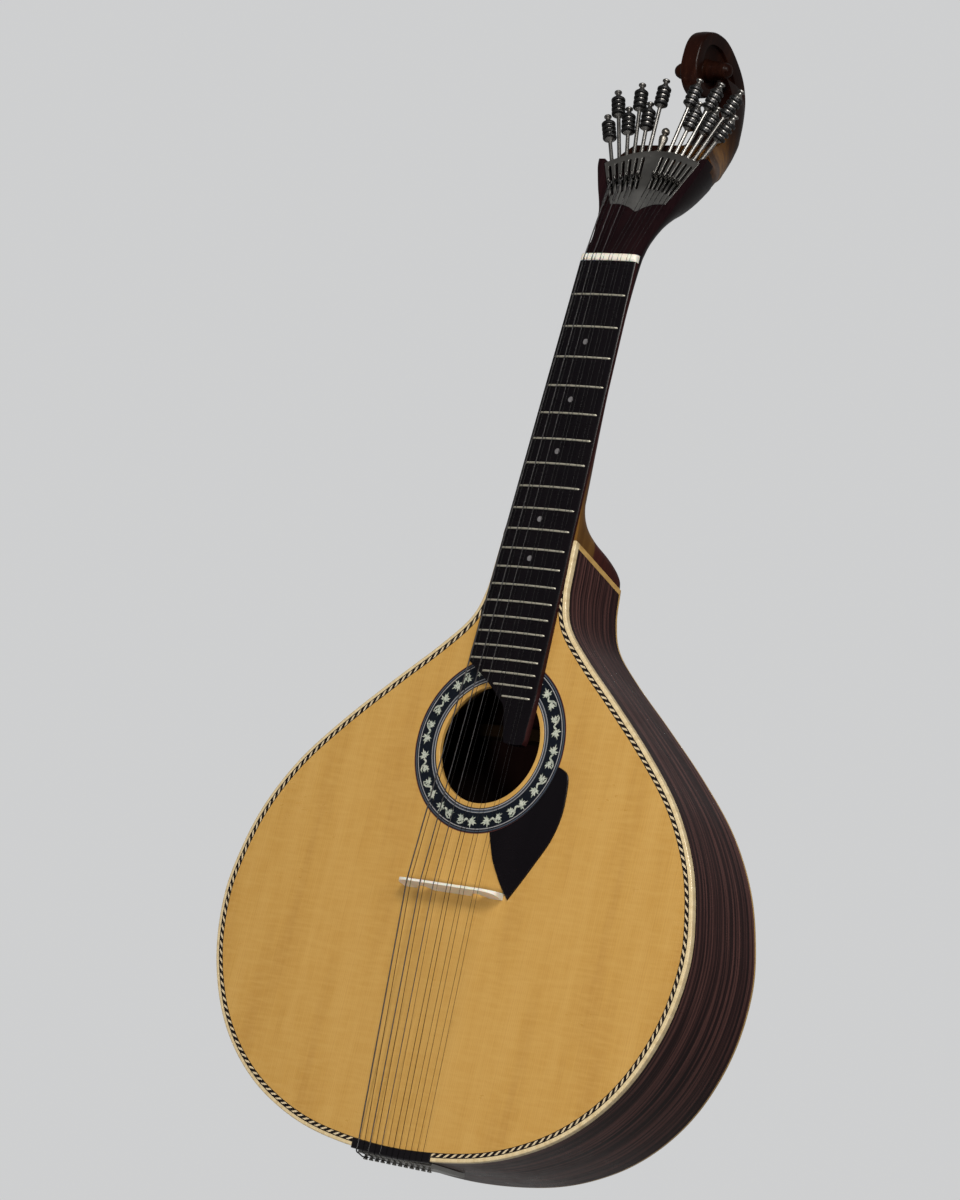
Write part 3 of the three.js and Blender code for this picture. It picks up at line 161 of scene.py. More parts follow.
# Soundboard: two quarter-sawn spruce halves glued at the middle, with an amber gloss lacquer.
# It lies inside the purfling, and its round hole has a plain wood ring inside the rosette.
BODY_LENGTH = 425
BODY_HALF_WIDTH = 195
HOLE_HEIGHT = 280.2
ORIGIN_DEPTH = 28.6
ORIGIN_RISE = 1.8
HOLE_RADIUS = 40.6
SOUNDBOARD_INSET = 5.95
SOUNDBOARD_THICKNESS = 2.8
ROSETTE_INNER_RADIUS = 44
ROSETTE_OUTER_RADIUS = 61.5
body_outline_shares = [
    (0, 0), (0.33, 0.0141), (0.567, 0.05), (0.745, 0.103), (0.881, 0.175), (0.97, 0.266), (1, 0.36),
    (0.976, 0.44), (0.918, 0.5185), (0.811, 0.598), (0.655, 0.674), (0.4715, 0.7495), (0.315, 0.811),
    (0.21, 0.861), (0.173, 0.9085), (0.165, 0.955), (0.16, 1)]


def place(x, y, z):
    return Vector((x, y - ORIGIN_DEPTH, z + ORIGIN_RISE)) / 1000


def smooth_path(points, steps):
    path = []
    for i in range(len(points) - 1):
        before, a, b, after = (Vector(points[j]) for j in (max(i - 1, 0), i, i + 1, min(i + 2, len(points) - 1)))
        for k in range(steps):
            t = k / steps
            path.append(a + 0.5 * t * ((b - before) + t * ((2 * before - 5 * a + 4 * b - after)
                                                         + t * (3 * a - 3 * b + after - before))))
    path.append(Vector(points[-1]))
    return path


def body_edge(inset, steps=12):
    treble = [(x * BODY_HALF_WIDTH, z * BODY_LENGTH) for x, z in body_outline_shares]
    whole = treble[:0:-1] + [(-x, z) for x, z in treble]
    path = smooth_path(whole, steps)
    edge = []
    for i, point in enumerate(path):
        along = (path[min(i + 1, len(path) - 1)] - path[max(i - 1, 0)]).normalized()
        edge.append(Vector((point.x + along.y * inset, point.y - along.x * inset)))
    return edge


def circle(radius, height, steps=128):
    return [Vector((radius * math.cos(2 * math.pi * i / steps), height + radius * math.sin(2 * math.pi * i / steps)))
            for i in range(steps)]


def show(name, mesh, smooth_degrees=32):
    mesh.validate()
    mesh.update()
    mesh.shade_smooth()
    mesh.set_sharp_from_angle(angle=math.radians(smooth_degrees))
    piece = bpy.data.objects.new(name, mesh)
    bpy.context.collection.objects.link(piece)
    return piece


def from_bmesh(name, shape, smooth_degrees=32):
    bmesh.ops.remove_doubles(shape, verts=shape.verts, dist=1e-7)
    bmesh.ops.recalc_face_normals(shape, faces=shape.faces)
    mesh = bpy.data.meshes.new(name)
    shape.to_mesh(mesh)
    shape.free()
    return show(name, mesh, smooth_degrees)


def skin(shape, rings, caps=True):
    """Faces between matching closed rings of vertices, with caps over the first and the last ring."""
    for one, two in zip(rings, rings[1:]):
        for i in range(len(one)):
            j = (i + 1) % len(one)
            shape.faces.new((one[i], one[j], two[j], two[i]))
    if caps:
        shape.faces.new(rings[0])
        shape.faces.new(rings[-1][::-1])


def moved_in(ring, amount):
    count = len(ring)
    area = sum(ring[i].x * ring[(i + 1) % count].y - ring[(i + 1) % count].x * ring[i].y for i in range(count))
    side = 1 if area > 0 else -1
    out = []
    for i, point in enumerate(ring):
        one = (point - ring[i - 1]).normalized()
        two = (ring[(i + 1) % count] - point).normalized()
        along = one + two
        along = along.normalized() if along.length > 1e-6 else one
        step = side * amount / max(along.dot(one), 0.5)
        out.append(Vector((point.x - along.y * step, point.y + along.x * step)))
    return out


def plate(name, rings, front, back, put, soften=0.3, smooth_degrees=32, back_soften=0.0):
    """A flat piece between two depths with rounded edges: rings[0] is its outer edge, the others its holes."""
    turns = [math.radians(degrees) for degrees in (0, 30, 60, 90)]
    layers = [(soften * (1 - math.sin(t)), front + soften * (1 - math.cos(t))) for t in turns]
    if back_soften:
        layers += [(back_soften * (1 - math.cos(t)), back - back_soften * (1 - math.sin(t))) for t in turns]
    else:
        layers.append((0, back))
    edges = [[moved_in(ring, -amount if number else amount) if amount else ring for amount, _ in layers]
             for number, ring in enumerate(rings)]
    shape = bmesh.new()
    stacks = [[[shape.verts.new(put(p.x, depth, p.y)) for p in edge] for edge, (_, depth) in zip(stack, layers)]
              for stack in edges]
    for stack in stacks:
        skin(shape, stack, False)
    for layer in (0, -1):
        corners = [vertex for stack in stacks for vertex in stack[layer]]
        loops = [[Vector((p.x, p.y, 0)) for p in stack[layer]] for stack in edges]
        for triangle in geometry.tessellate_polygon(loops):
            shape.faces.new([corners[i] for i in triangle])
    piece = from_bmesh(name, shape, smooth_degrees)
    piece.modifiers.new("level_faces", "WEIGHTED_NORMAL").keep_sharp = True
    return piece


def new_group(name, values, outputs):
    """A node group with a Vector input, number inputs with their values and number outputs."""
    group = bpy.data.node_groups.new(name, "ShaderNodeTree")
    group.interface.new_socket("Vector", in_out="INPUT", socket_type="NodeSocketVector")
    for label, value in values.items():
        group.interface.new_socket(label, in_out="INPUT", socket_type="NodeSocketFloat").default_value = value
    for label in outputs:
        group.interface.new_socket(label, in_out="OUTPUT", socket_type="NodeSocketFloat")
    return group, add(group, "NodeGroupInput").outputs, add(group, "NodeGroupOutput").inputs


def part_of(tree, value, factor, shift=0.0):
    return math_node(tree, "MULTIPLY_ADD", value, factor, shift, clamp=True)


def stretched(tree, vector, scale):
    return add(tree, "ShaderNodeVectorMath", {0: vector, 1: scale}, operation="MULTIPLY").outputs[0]


def noise(tree, vector, scale, detail=3.0, roughness=0.5, distortion=0.0):
    """Noise at one scale, or at three that stretch it along the axes."""
    if not isinstance(scale, float):
        vector, scale = stretched(tree, vector, scale), 1.0
    return add(tree, "ShaderNodeTexNoise", {"Vector": vector, "Scale": scale, "Detail": detail, "Roughness": roughness,
                                            "Distortion": distortion}).outputs["Fac"]


def ramp(tree, value, stops, interpolation="LINEAR"):
    node = add(tree, "ShaderNodeValToRGB", {"Fac": value})
    node.color_ramp.interpolation = interpolation
    elements = node.color_ramp.elements
    while len(elements) < len(stops):
        elements.new(0.5)
    for element, (position, colour) in zip(elements, stops):
        element.position = position
        element.color = (*colour, 1)
    return node.outputs["Color"]


def mix_colour(tree, share, a, b, blend="MIX"):
    a, b = (value if isinstance(value, bpy.types.NodeSocket) else (*value, 1) for value in (a, b))
    return add(tree, "ShaderNodeMix", {0: share, 6: a, 7: b}, data_type="RGBA", blend_type=blend).outputs[2]


# Wood grain group: growth rings across X, fine fibres and open pores along Z, in metres.
grain_group, grain_in, grain_out = new_group(
    "wood_grain", {"Ring Spacing": 0.002, "Wander": 0.003, "Pore Length": 0.01}, ("Rings", "Fibres", "Pores", "Figure"))
tree, at = grain_group, grain_in["Vector"]
wandering = math_node(tree, "SUBTRACT", noise(tree, at, (14.0, 14.0, 2.2)), 0.5)
axes = split_axes(tree, at)
across = math_node(tree, "ADD", axes["X"], math_node(tree, "MULTIPLY", wandering, grain_in["Wander"]))
across = math_node(tree, "ADD", across, math_node(tree, "MULTIPLY", axes["Y"], 0.35))
ring_place = math_node(tree, "DIVIDE", across, grain_in["Ring Spacing"])
ring_uneven = noise(tree, add(tree, "ShaderNodeCombineXYZ", {0: ring_place}).outputs[0], 0.23, 2.0)
ring_phase = math_node(tree, "FRACT", math_node(tree, "MULTIPLY_ADD", ring_uneven, 3.0, ring_place))
ring_dark = math_node(tree, "MULTIPLY", math_node(tree, "POWER", ring_phase, 2.6), part_of(tree, ring_phase, -8.0, 8.0))
pore_scale = math_node(tree, "DIVIDE", 1.0, grain_in["Pore Length"])
pore_axes = add(tree, "ShaderNodeCombineXYZ", {0: 2300.0, 1: 2300.0, 2: pore_scale}).outputs[0]
for label, mask in (("Rings", ring_dark), ("Fibres", noise(tree, at, (2600.0, 2600.0, 60.0), 2.0)),
                    ("Pores", map_range(tree, noise(tree, at, pore_axes, 1.0), 0.63, 0.74)),
                    ("Figure", noise(tree, at, (42.0, 42.0, 5.0), 4.0, 0.6))):
    tree.links.new(mask, grain_out[label])

# Handling group: faint smears and wipe marks that vary the gloss.
smear_group, smear_in, smear_out = new_group("handling_smears", {"Least": 0.1, "Most": 0.3}, ("Roughness",))
tree, at = smear_group, smear_in["Vector"]
wiped = math_node(tree, "MULTIPLY", noise(tree, at, 22.0, 4.0, 0.55, 0.6), 0.65)
wiped = math_node(tree, "MULTIPLY_ADD", noise(tree, at, (160.0, 160.0, 420.0), 2.0), 0.35, wiped)
tree.links.new(map_range(tree, wiped, 0.3, 0.7, smear_in["Least"], smear_in["Most"]), smear_out["Roughness"])


def new_material(name, **sockets):
    material = bpy.data.materials.new(name)
    tree = empty_tree(material)
    shader = add(tree, "ShaderNodeBsdfPrincipled", {key.replace("_", " "): value for key, value in sockets.items()})
    add(tree, "ShaderNodeOutputMaterial", {"Surface": shader.outputs[0]})
    return material, tree, shader.inputs


def object_place(tree):
    return add(tree, "ShaderNodeTexCoord").outputs["Object"]


def mirrored_place(tree):
    axes = split_axes(tree, object_place(tree))
    return add(tree, "ShaderNodeCombineXYZ", {0: math_node(tree, "ABSOLUTE", axes["X"]), 1: axes["Y"],
                                              2: axes["Z"]}).outputs[0]


def wood_grain(tree, vector, spacing, wander, pore_length=0.01):
    return add(tree, "ShaderNodeGroup", {"Vector": vector, "Ring Spacing": spacing, "Wander": wander,
                                         "Pore Length": pore_length}, node_tree=grain_group).outputs


def dress(tree, shader, colour, gloss=None, relief=None):
    """Links a colour, smears between the least and the most roughness, and a bump (height, strength, metres)."""
    tree.links.new(colour, shader["Base Color"])
    if gloss:
        smears = add(tree, "ShaderNodeGroup", {"Vector": object_place(tree), "Least": gloss[0], "Most": gloss[1]},
                     node_tree=smear_group)
        tree.links.new(smears.outputs["Roughness"], shader["Roughness"])
    if relief:
        height, strength, distance = relief
        raised = add(tree, "ShaderNodeBump", {"Height": height, "Strength": strength, "Distance": distance})
        tree.links.new(raised.outputs[0], shader["Normal"])


def grained(tree, shader, grain, base, dark, fibre_tone, shares, gloss, relief):
    """Rings, fibres and pores over a base colour: shares are rings, fibres, the fibres' shift and pores."""
    rings, fibres, shift, pores = shares
    ringed = mix_colour(tree, part_of(tree, grain["Rings"], rings), base, dark)
    fibred = mix_colour(tree, part_of(tree, grain["Fibres"], fibres, shift), ringed, fibre_tone)
    pored = mix_colour(tree, part_of(tree, grain["Pores"], pores), fibred, tuple(v * 0.3 for v in dark))
    depth = math_node(tree, "MULTIPLY_ADD", grain["Pores"], -1.0, math_node(tree, "MULTIPLY", grain["Fibres"], 0.3))
    dress(tree, shader, pored, gloss, (depth, *relief))


spruce, tree, shader = new_material("spruce_lacquered", IOR=1.5, Coat_Weight=0.55, Coat_Roughness=0.09, Coat_IOR=1.5)
mirrored = mirrored_place(tree)
grain = wood_grain(tree, mirrored, 0.00155, 0.004, 0.02)
amber = ramp(tree, grain["Figure"], [(0.25, (0.44, 0.225, 0.045)), (0.5, (0.54, 0.30, 0.068)),
                                     (0.78, (0.62, 0.37, 0.105))])
ringed = mix_colour(tree, part_of(tree, grain["Rings"], 0.42), amber, (0.36, 0.165, 0.04))
fibred = mix_colour(tree, part_of(tree, grain["Fibres"], 0.5, -0.12), ringed, (0.66, 0.42, 0.14))
silk = noise(tree, mirrored, (60.0, 60.0, 420.0), 2.0)
silked = mix_colour(tree, part_of(tree, silk, 1.0, -0.36), fibred, (0.63, 0.39, 0.12))
seam = part_of(tree, split_axes(tree, mirrored)["X"], -6000.0, 1.0)
dress(tree, shader, mix_colour(tree, part_of(tree, seam, 0.35), silked, (0.3, 0.14, 0.04)), (0.26, 0.42),
      (math_node(tree, "MULTIPLY_ADD", grain["Fibres"], 0.4, grain["Rings"]), 0.12, 0.00005))

soundboard = plate("soundboard_spruce", [body_edge(SOUNDBOARD_INSET), circle(ROSETTE_OUTER_RADIUS, HOLE_HEIGHT)], 0,
                   SOUNDBOARD_THICKNESS, place, 0.02)
hole_ring = plate("soundhole_ring", [circle(ROSETTE_INNER_RADIUS, HOLE_HEIGHT), circle(HOLE_RADIUS, HOLE_HEIGHT)], 0,
                  SOUNDBOARD_THICKNESS, place, 0.45)
for piece in (soundboard, hole_ring):
    piece.data.materials.append(spruce)
    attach(piece, "instrument")
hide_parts("soundboard")

# Rosette: a ring of dark blue-black inlay let in flush round the hole, between fine pale and dark lines.
# Leaves and curled tendrils cut from mother-of-pearl lie in it, in mirrored pairs.
rosette_mat, tree, shader = new_material("rosette_lines", Roughness=0.3, IOR=1.5, Specular_IOR_Level=0.3,
                                         Coat_Weight=0.2, Coat_Roughness=0.1)
at = object_place(tree)
from_centre = add(tree, "ShaderNodeVectorMath", {0: at, 1: tuple(place(0, 0, HOLE_HEIGHT))},
                  operation="SUBTRACT").outputs[0]
radius = add(tree, "ShaderNodeVectorMath", {0: stretched(tree, from_centre, (1000.0, 0.0, 1000.0))},
             operation="LENGTH").outputs["Value"]
band_share = map_range(tree, radius, ROSETTE_INNER_RADIUS, ROSETTE_OUTER_RADIUS)
ink, blue_black, pale, grey_blue, red_brown = ((0.008, 0.006, 0.007), (0.004, 0.006, 0.0105), (0.32, 0.32, 0.33),
                                               (0.055, 0.07, 0.095), (0.12, 0.032, 0.028))
lines = ramp(tree, band_share, [
    (0.0, ink), (0.035, pale), (0.075, ink), (0.11, grey_blue), (0.16, pale), (0.185, blue_black),
    (0.80, pale), (0.835, ink), (0.88, grey_blue), (0.93, ink), (0.965, red_brown)], "CONSTANT")
speckle = part_of(tree, noise(tree, at, 900.0, 3.0, 0.6), 0.9, -0.42)
dress(tree, shader, mix_colour(tree, speckle, lines, (0.02, 0.03, 0.048)), None, (band_share, 0.15, 0.00005))
rosette = plate("rosette_ring", [circle(ROSETTE_OUTER_RADIUS - 0.01, HOLE_HEIGHT),
                                 circle(ROSETTE_INNER_RADIUS + 0.01, HOLE_HEIGHT)], 0.0, 1.2, place, 0.02)
rosette.data.materials.append(rosette_mat)
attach(rosette, "instrument")
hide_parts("rosette")

pearl, tree, shader = new_material("mother_of_pearl", Roughness=0.2, IOR=1.6, Coat_Weight=0.6, Coat_Roughness=0.05)
cloud = noise(tree, object_place(tree), 420.0, 4.0, 0.6, 1.2)
pearl_tone = ramp(tree, cloud, [(0.3, (0.05, 0.065, 0.06)), (0.42, (0.33, 0.38, 0.31)), (0.52, (0.62, 0.63, 0.54)),
                                (0.62, (0.24, 0.3, 0.24)), (0.74, (0.72, 0.7, 0.66))])
dress(tree, shader, pearl_tone, None, (cloud, 0.1, 0.0001))


def leaf_shapes():
    """Outlines in a 17 by 9 mm box: a toothed ivy leaf, a smaller leaf turned away from it and their stalk."""
    teeth = ((180, 4.7), (169, 2.7), (152, 3.5), (136, 1.5), (113, 4.0), (101, 2.3), (84, 3.0), (63, 1.2), (28, 1.9),
             (4, 0.7), (331, 1.5), (300, 1.0), (272, 3.0), (257, 1.9), (236, 3.7), (219, 1.6), (203, 3.1), (191, 2.4))
    leaves = []
    for middle_x, middle_y, lean, size in ((-3.4, 0.3, -18, 1.22), (4.4, -0.5, 236, 1.08)):
        leaves.append([Vector((middle_x + size * reach * math.cos(math.radians(turn + lean)),
                               middle_y + size * reach * math.sin(math.radians(turn + lean)))) for turn, reach in teeth])
    stalk = [Vector(p) for p in ((-2.0, 0.3), (-0.6, -0.9), (0.9, -1.2), (2.3, 0.1), (3.5, 2.1), (5.2, 3.2), (7.6, 3.4),
                                 (5.0, 4.2), (2.6, 3.0), (1.4, 1.2), (0.6, 0.2), (-0.3, 0.4), (-1.5, 1.6))]
    return leaves + [stalk]


def slab(shape, outline, front, back, put):
    """Adds a flat piece with sharp edges between two depths."""
    near, far = ([shape.verts.new(put(p.x, depth, p.y)) for p in outline] for depth in (front, back))
    for triangle in geometry.tessellate_polygon([[Vector((p.x, p.y, 0)) for p in outline]]):
        shape.faces.new([near[i] for i in triangle])
        shape.faces.new([far[i] for i in reversed(triangle)])
    skin(shape, [near, far], False)


inlay = bmesh.new()
INLAY_UNITS = 16
INLAY_RADIUS = 52.6
for unit in range(INLAY_UNITS):
    middle_turn = math.radians(-4 + unit * 360 / INLAY_UNITS)
    flip = 1 if unit % 2 else -1
    for outline in leaf_shapes():
        bent = []
        for point in outline:
            turn = middle_turn + flip * point.x * 1.02 / INLAY_RADIUS
            reach = INLAY_RADIUS + point.y * 1.04
            bent.append(Vector((reach * math.cos(turn), HOLE_HEIGHT + reach * math.sin(turn))))
        slab(inlay, bent, -0.03, 0.4, place)
pearl_leaves = from_bmesh("rosette_pearl", inlay)
pearl_leaves.data.materials.append(pearl)
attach(pearl_leaves, "instrument")

# Back plate: two flat rosewood halves, tilted so that the body is deepest at the tail, glossy outside.
# It is glued between the ribs, inside the back binding.
TAIL_DEPTH = 93.4
BACK_SLOPE = 33.7 / BODY_LENGTH
BACK_THICKNESS = 3
JOINT_SLOPE = math.tan(math.radians(15.4))


def back_depth(z):
    return TAIL_DEPTH - BACK_SLOPE * z


def back_place(x, y, z):
    return place(x, back_depth(z) + y, z)


def cut_at_joint(shape, margin, keep_above=False):
    """Cuts at the slanted plane of the neck joint, moved up by a margin, and closes the cut."""
    cut = bmesh.ops.bisect_plane(shape, geom=shape.verts[:] + shape.edges[:] + shape.faces[:],
                                 plane_co=place(0, 0, BODY_LENGTH + margin), plane_no=(0, JOINT_SLOPE, 1),
                                 clear_outer=not keep_above, clear_inner=keep_above, dist=1e-7)
    bmesh.ops.holes_fill(shape, edges=[edge for edge in cut["geom_cut"] if isinstance(edge, bmesh.types.BMEdge)])


def cut_piece(piece, margin, keep_above=False):
    shape = bmesh.new()
    shape.from_mesh(piece.data)
    cut_at_joint(shape, margin, keep_above)
    shape.to_mesh(piece.data)
    shape.free()


def rosewood(name, grain_vector, dark, mid, light, spacing, streak_scale, pore_share):
    material, tree, shader = new_material(name, IOR=1.45, Specular_IOR_Level=0.16, Coat_Weight=0.1, Coat_Roughness=0.16,
                                          Coat_IOR=1.45)
    vector = grain_vector(tree)
    grain = wood_grain(tree, vector, spacing, 0.02, 0.006)
    broad = noise(tree, vector, (streak_scale, streak_scale, 3.2), 5.0, 0.64, 0.3)
    base = ramp(tree, broad, [(0.30, dark), (0.48, mid), (0.60, light), (0.70, mid), (0.86, dark)])
    grained(tree, shader, grain, base, dark, mid, (0.75, 0.9, -0.3, pore_share), (0.22, 0.4), (0.2, 0.00006))
    return material


back_rosewood = rosewood("rosewood_back", mirrored_place, (0.012, 0.006, 0.006), (0.05, 0.022, 0.018),
                         (0.12, 0.06, 0.042), 0.006, 110.0, 0.35)
# Painted shade: the inside face is rosewood painted near black, for the dark inside of the closed body.
shaded_inside_rosewood, tree, shader = new_material("rosewood_inner_face_shaded", Roughness=0.9, IOR=1.45, Specular_IOR_Level=0.1)
grain = wood_grain(tree, object_place(tree), 0.004, 0.01, 0.006)
dress(tree, shader, mix_colour(tree, grain["Figure"], (0.004, 0.002, 0.002), (0.014, 0.006, 0.005)), None,
      (grain["Fibres"], 0.3, 0.0001))
back_plate = plate("back_rosewood", [body_edge(2.75)], -BACK_THICKNESS, 0, back_place, 0.3)
cut_piece(back_plate, -0.15)
back_plate.data.materials.append(back_rosewood)
back_plate.data.materials.append(shaded_inside_rosewood)
for polygon in back_plate.data.polygons:
    polygon.material_index = 1 if polygon.normal.y < -0.9 else 0
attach(back_plate, "instrument")
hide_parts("back_plate")

# Ribs: two thin rosewood sides bent round the body, joined at the tail, the grain running along them.
# Two linings inside hold the plates; the upper ends stop at a maple strip beside the heel.
RIB_THICKNESS = 2.4
LINING_INSET = 8.9
BINDING_DEPTH = 4
BACK_BINDING_DEPTH = 2.2
END_STRIP_WIDTH = 3.6


def bent_strip(name, section, top, bottom=None):
    """Bends a closed section of (inset, depth, share of the back's depth) round the body edge, up to the neck
    joint moved by top, and only from bottom where it is given. The attribute 'run' holds metres across the
    section and along the edge."""
    lines = [body_edge(inset) for inset, _, _ in section]
    middle = body_edge(0)
    travelled = [0.0]
    for a, b in zip(middle, middle[1:]):
        travelled.append(travelled[-1] + (b - a).length)
    half_way = travelled[-1] / 2
    reach = [0.0]
    for (i0, d0, s0), (i1, d1, s1) in zip(section, section[1:]):
        reach.append(reach[-1] + math.hypot(i1 - i0, d1 - d0 + (s1 - s0) * TAIL_DEPTH))
    shape = bmesh.new()
    run = shape.verts.layers.float_vector.new("run")
    rows = []
    for i in range(len(middle)):
        row = []
        for j, (_, depth, share) in enumerate(section):
            point = lines[j][i]
            vertex = shape.verts.new(place(point.x, depth + share * back_depth(point.y), point.y))
            vertex[run] = (reach[j] / 1000, 0.0, (travelled[i] - half_way) / 1000)
            row.append(vertex)
        rows.append(row)
    skin(shape, rows)
    cut_at_joint(shape, top)
    if bottom is not None:
        cut_at_joint(shape, bottom, True)
    return from_bmesh(name, shape, 38)


def run_attribute(tree):
    return add(tree, "ShaderNodeAttribute", attribute_name="run").outputs["Vector"]


rib_rosewood = rosewood("rosewood_ribs", run_attribute, (0.0045, 0.0013, 0.0019), (0.023, 0.0073, 0.0077),
                        (0.15, 0.064, 0.056), 0.0045, 260.0, 0.6)
ribs = bent_strip("ribs_rosewood", [
    (0, BINDING_DEPTH, 0), (0, -BACK_BINDING_DEPTH, 1), (RIB_THICKNESS, -BACK_BINDING_DEPTH, 1),
    (RIB_THICKNESS, BINDING_DEPTH, 0)], -END_STRIP_WIDTH)
ribs.data.materials.append(rib_rosewood)
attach(ribs, "instrument")

lining_wood, tree, shader = new_material("lining_cedar", Roughness=0.75, IOR=1.45)
grain = wood_grain(tree, run_attribute(tree), 0.002, 0.006)
dress(tree, shader, mix_colour(tree, part_of(tree, grain["Rings"], 0.5), (0.42, 0.24, 0.11), (0.25, 0.12, 0.05)), None,
      (grain["Fibres"], 0.3, 0.00008))
front_lining = [(RIB_THICKNESS, SOUNDBOARD_THICKNESS, 0), (LINING_INSET, SOUNDBOARD_THICKNESS, 0),
                (LINING_INSET, 6.8, 0), (RIB_THICKNESS, 13.8, 0)]
back_lining = [(RIB_THICKNESS, -14, 1), (LINING_INSET, -7, 1), (LINING_INSET, -BACK_THICKNESS, 1),
               (RIB_THICKNESS, -BACK_THICKNESS, 1)]
for label, section in (("front", front_lining), ("back", back_lining)):
    lining = bent_strip("lining_" + label, section, -END_STRIP_WIDTH)
    lining.data.materials.append(lining_wood)
    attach(lining, "instrument")
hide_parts("rib_treble", "rib_bass")

# Bindings: pale maple strips bent round the front and back edges of the ribs, rounded over and lacquered.
# A wider strip of the same maple closes the upper end of each rib beside the heel.
BINDING_WIDTH = 2.6
maple, tree, shader = new_material("maple_binding", IOR=1.5, Coat_Weight=0.5, Coat_Roughness=0.08)
run = run_attribute(tree)
grain = wood_grain(tree, run, 0.0012, 0.003, 0.006)
stripes = noise(tree, run, (60.0, 60.0, 240.0))
cream_base = ramp(tree, stripes, [(0.3, (0.6, 0.46, 0.25)), (0.55, (0.74, 0.6, 0.36)), (0.8, (0.8, 0.68, 0.45))])
golden_base = ramp(tree, stripes, [(0.3, (0.5, 0.29, 0.075)), (0.55, (0.66, 0.41, 0.12)), (0.8, (0.72, 0.48, 0.17))])
behind_edge = map_range(tree, split_axes(tree, object_place(tree))["Y"], -0.0252, -0.0235)
maple_base = mix_colour(tree, behind_edge, cream_base, golden_base)
dress(tree, shader, mix_colour(tree, part_of(tree, grain["Rings"], 0.25), maple_base, (0.42, 0.26, 0.1)), (0.25, 0.42),
      (grain["Fibres"], 0.12, 0.00004))
front_binding = bent_strip("binding_front", [
    (BINDING_WIDTH, 0, 0), (0.9, 0, 0), (0.42, 0.12, 0), (0.12, 0.42, 0), (0, 0.9, 0), (0, BINDING_DEPTH, 0),
    (BINDING_WIDTH, BINDING_DEPTH, 0)], 0)
back_binding = bent_strip("binding_back", [
    (0, -BACK_BINDING_DEPTH, 1), (0, -0.9, 1), (0.12, -0.42, 1), (0.42, -0.12, 1), (0.9, 0, 1), (BINDING_WIDTH, 0, 1),
    (BINDING_WIDTH, -BACK_BINDING_DEPTH, 1)], 0)
end_strips = bent_strip("binding_rib_ends", [
    (-0.1, BINDING_DEPTH, 0), (-0.1, -BACK_BINDING_DEPTH, 1), (BINDING_WIDTH, -BACK_BINDING_DEPTH, 1),
    (BINDING_WIDTH, BINDING_DEPTH, 0)], 0, -END_STRIP_WIDTH)
for piece in (front_binding, back_binding, end_strips):
    piece.data.materials.append(maple)
    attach(piece, "instrument")
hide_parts("top_binding")
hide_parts("back_binding")

# Purfling: a rope strip of slanted black and cream blocks between two thin black lines, let in between
# the binding and the spruce and levelled with them.
ROPE_PERIOD = 0.0059
rope, tree, shader = new_material("rope_purfling", Roughness=0.32, IOR=1.5, Coat_Weight=0.5, Coat_Roughness=0.08)
run = run_attribute(tree)
axes = split_axes(tree, run)
slant = math_node(tree, "MULTIPLY_ADD", axes["X"], -1.6, axes["Z"])
is_cream = math_node(tree, "GREATER_THAN", math_node(tree, "FRACT", math_node(tree, "DIVIDE", slant, ROPE_PERIOD)), 0.6)
between = math_node(tree, "MULTIPLY", math_node(tree, "GREATER_THAN", axes["X"], 0.0005),
                    math_node(tree, "LESS_THAN", axes["X"], 0.0027))
cream_tone = mix_colour(tree, noise(tree, run, (900.0, 900.0, 300.0), 2.0), (0.56, 0.43, 0.25), (0.78, 0.66, 0.45))
dress(tree, shader, mix_colour(tree, part_of(tree, is_cream, between), (0.009, 0.006, 0.006), cream_tone))
rope_purfling = bent_strip("purfling_rope", [
    (SOUNDBOARD_INSET, 0, 0), (BINDING_WIDTH, 0, 0), (BINDING_WIDTH, SOUNDBOARD_THICKNESS, 0),
    (SOUNDBOARD_INSET, SOUNDBOARD_THICKNESS, 0)], 0)
rope_purfling.data.materials.append(rope)
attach(rope_purfling, "instrument")
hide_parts("purfling")

# Blocks and braces: cedar blocks glued in at the neck and the tail, spruce bars across both plates.
# They show only through the soundhole; they are plain planed wood without lacquer, painted very dark as painted shade
# of the closed body.
for label, light_tone, dark_tone, nodes in (
        ("cedar_block_raw", (0.03, 0.014, 0.007), (0.018, 0.008, 0.004), ("neck_block", "tail_block")),
        ("spruce_brace_raw", (0.012, 0.007, 0.0035), (0.007, 0.004, 0.002),
         ("upper_top_brace", "lower_top_brace", "upper_back_brace", "lower_back_brace"))):
    raw_wood, tree, shader = new_material(label, Roughness=0.9, IOR=1.45, Specular_IOR_Level=0.1)
    turned = add(tree, "ShaderNodeMapping", {"Vector": object_place(tree), "Rotation": (0.0, math.pi / 2, 0.0)})
    grain = wood_grain(tree, turned.outputs[0], 0.0018, 0.004, 0.02)
    dress(tree, shader, mix_colour(tree, part_of(tree, grain["Rings"], 0.6), light_tone, dark_tone), None,
          (grain["Fibres"], 0.3, 0.0001))
    for node in nodes:
        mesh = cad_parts[node].data
        mesh.materials.clear()
        mesh.materials.append(raw_wood)

# Finger plate: a thin dark leaf of polished ebony-like plate glued on the spruce, from the rosette to
# a point beside the bridge, with softened edges.
GUARD_WIDTH = 72.7
GUARD_LENGTH = 102
GUARD_THICKNESS = 1.35
GUARD_ARC_RADIUS = 61.7
guard_edge_shares = [
    (0.965, 0.15), (1, 0.33), (0.985, 0.47), (0.93, 0.6), (0.85, 0.71), (0.735, 0.86), (0.62, 1), (0.575, 0.965),
    (0.48, 0.885), (0.36, 0.76), (0.295, 0.66)]
ebony, tree, shader = new_material("ebony_polished", IOR=1.5, Specular_IOR_Level=0.22, Coat_Weight=0.1,
                                   Coat_Roughness=0.16)
grain = wood_grain(tree, object_place(tree), 0.004, 0.01, 0.005)
ebony_base = mix_colour(tree, grain["Figure"], (0.0024, 0.002, 0.0032), (0.0065, 0.005, 0.0065))
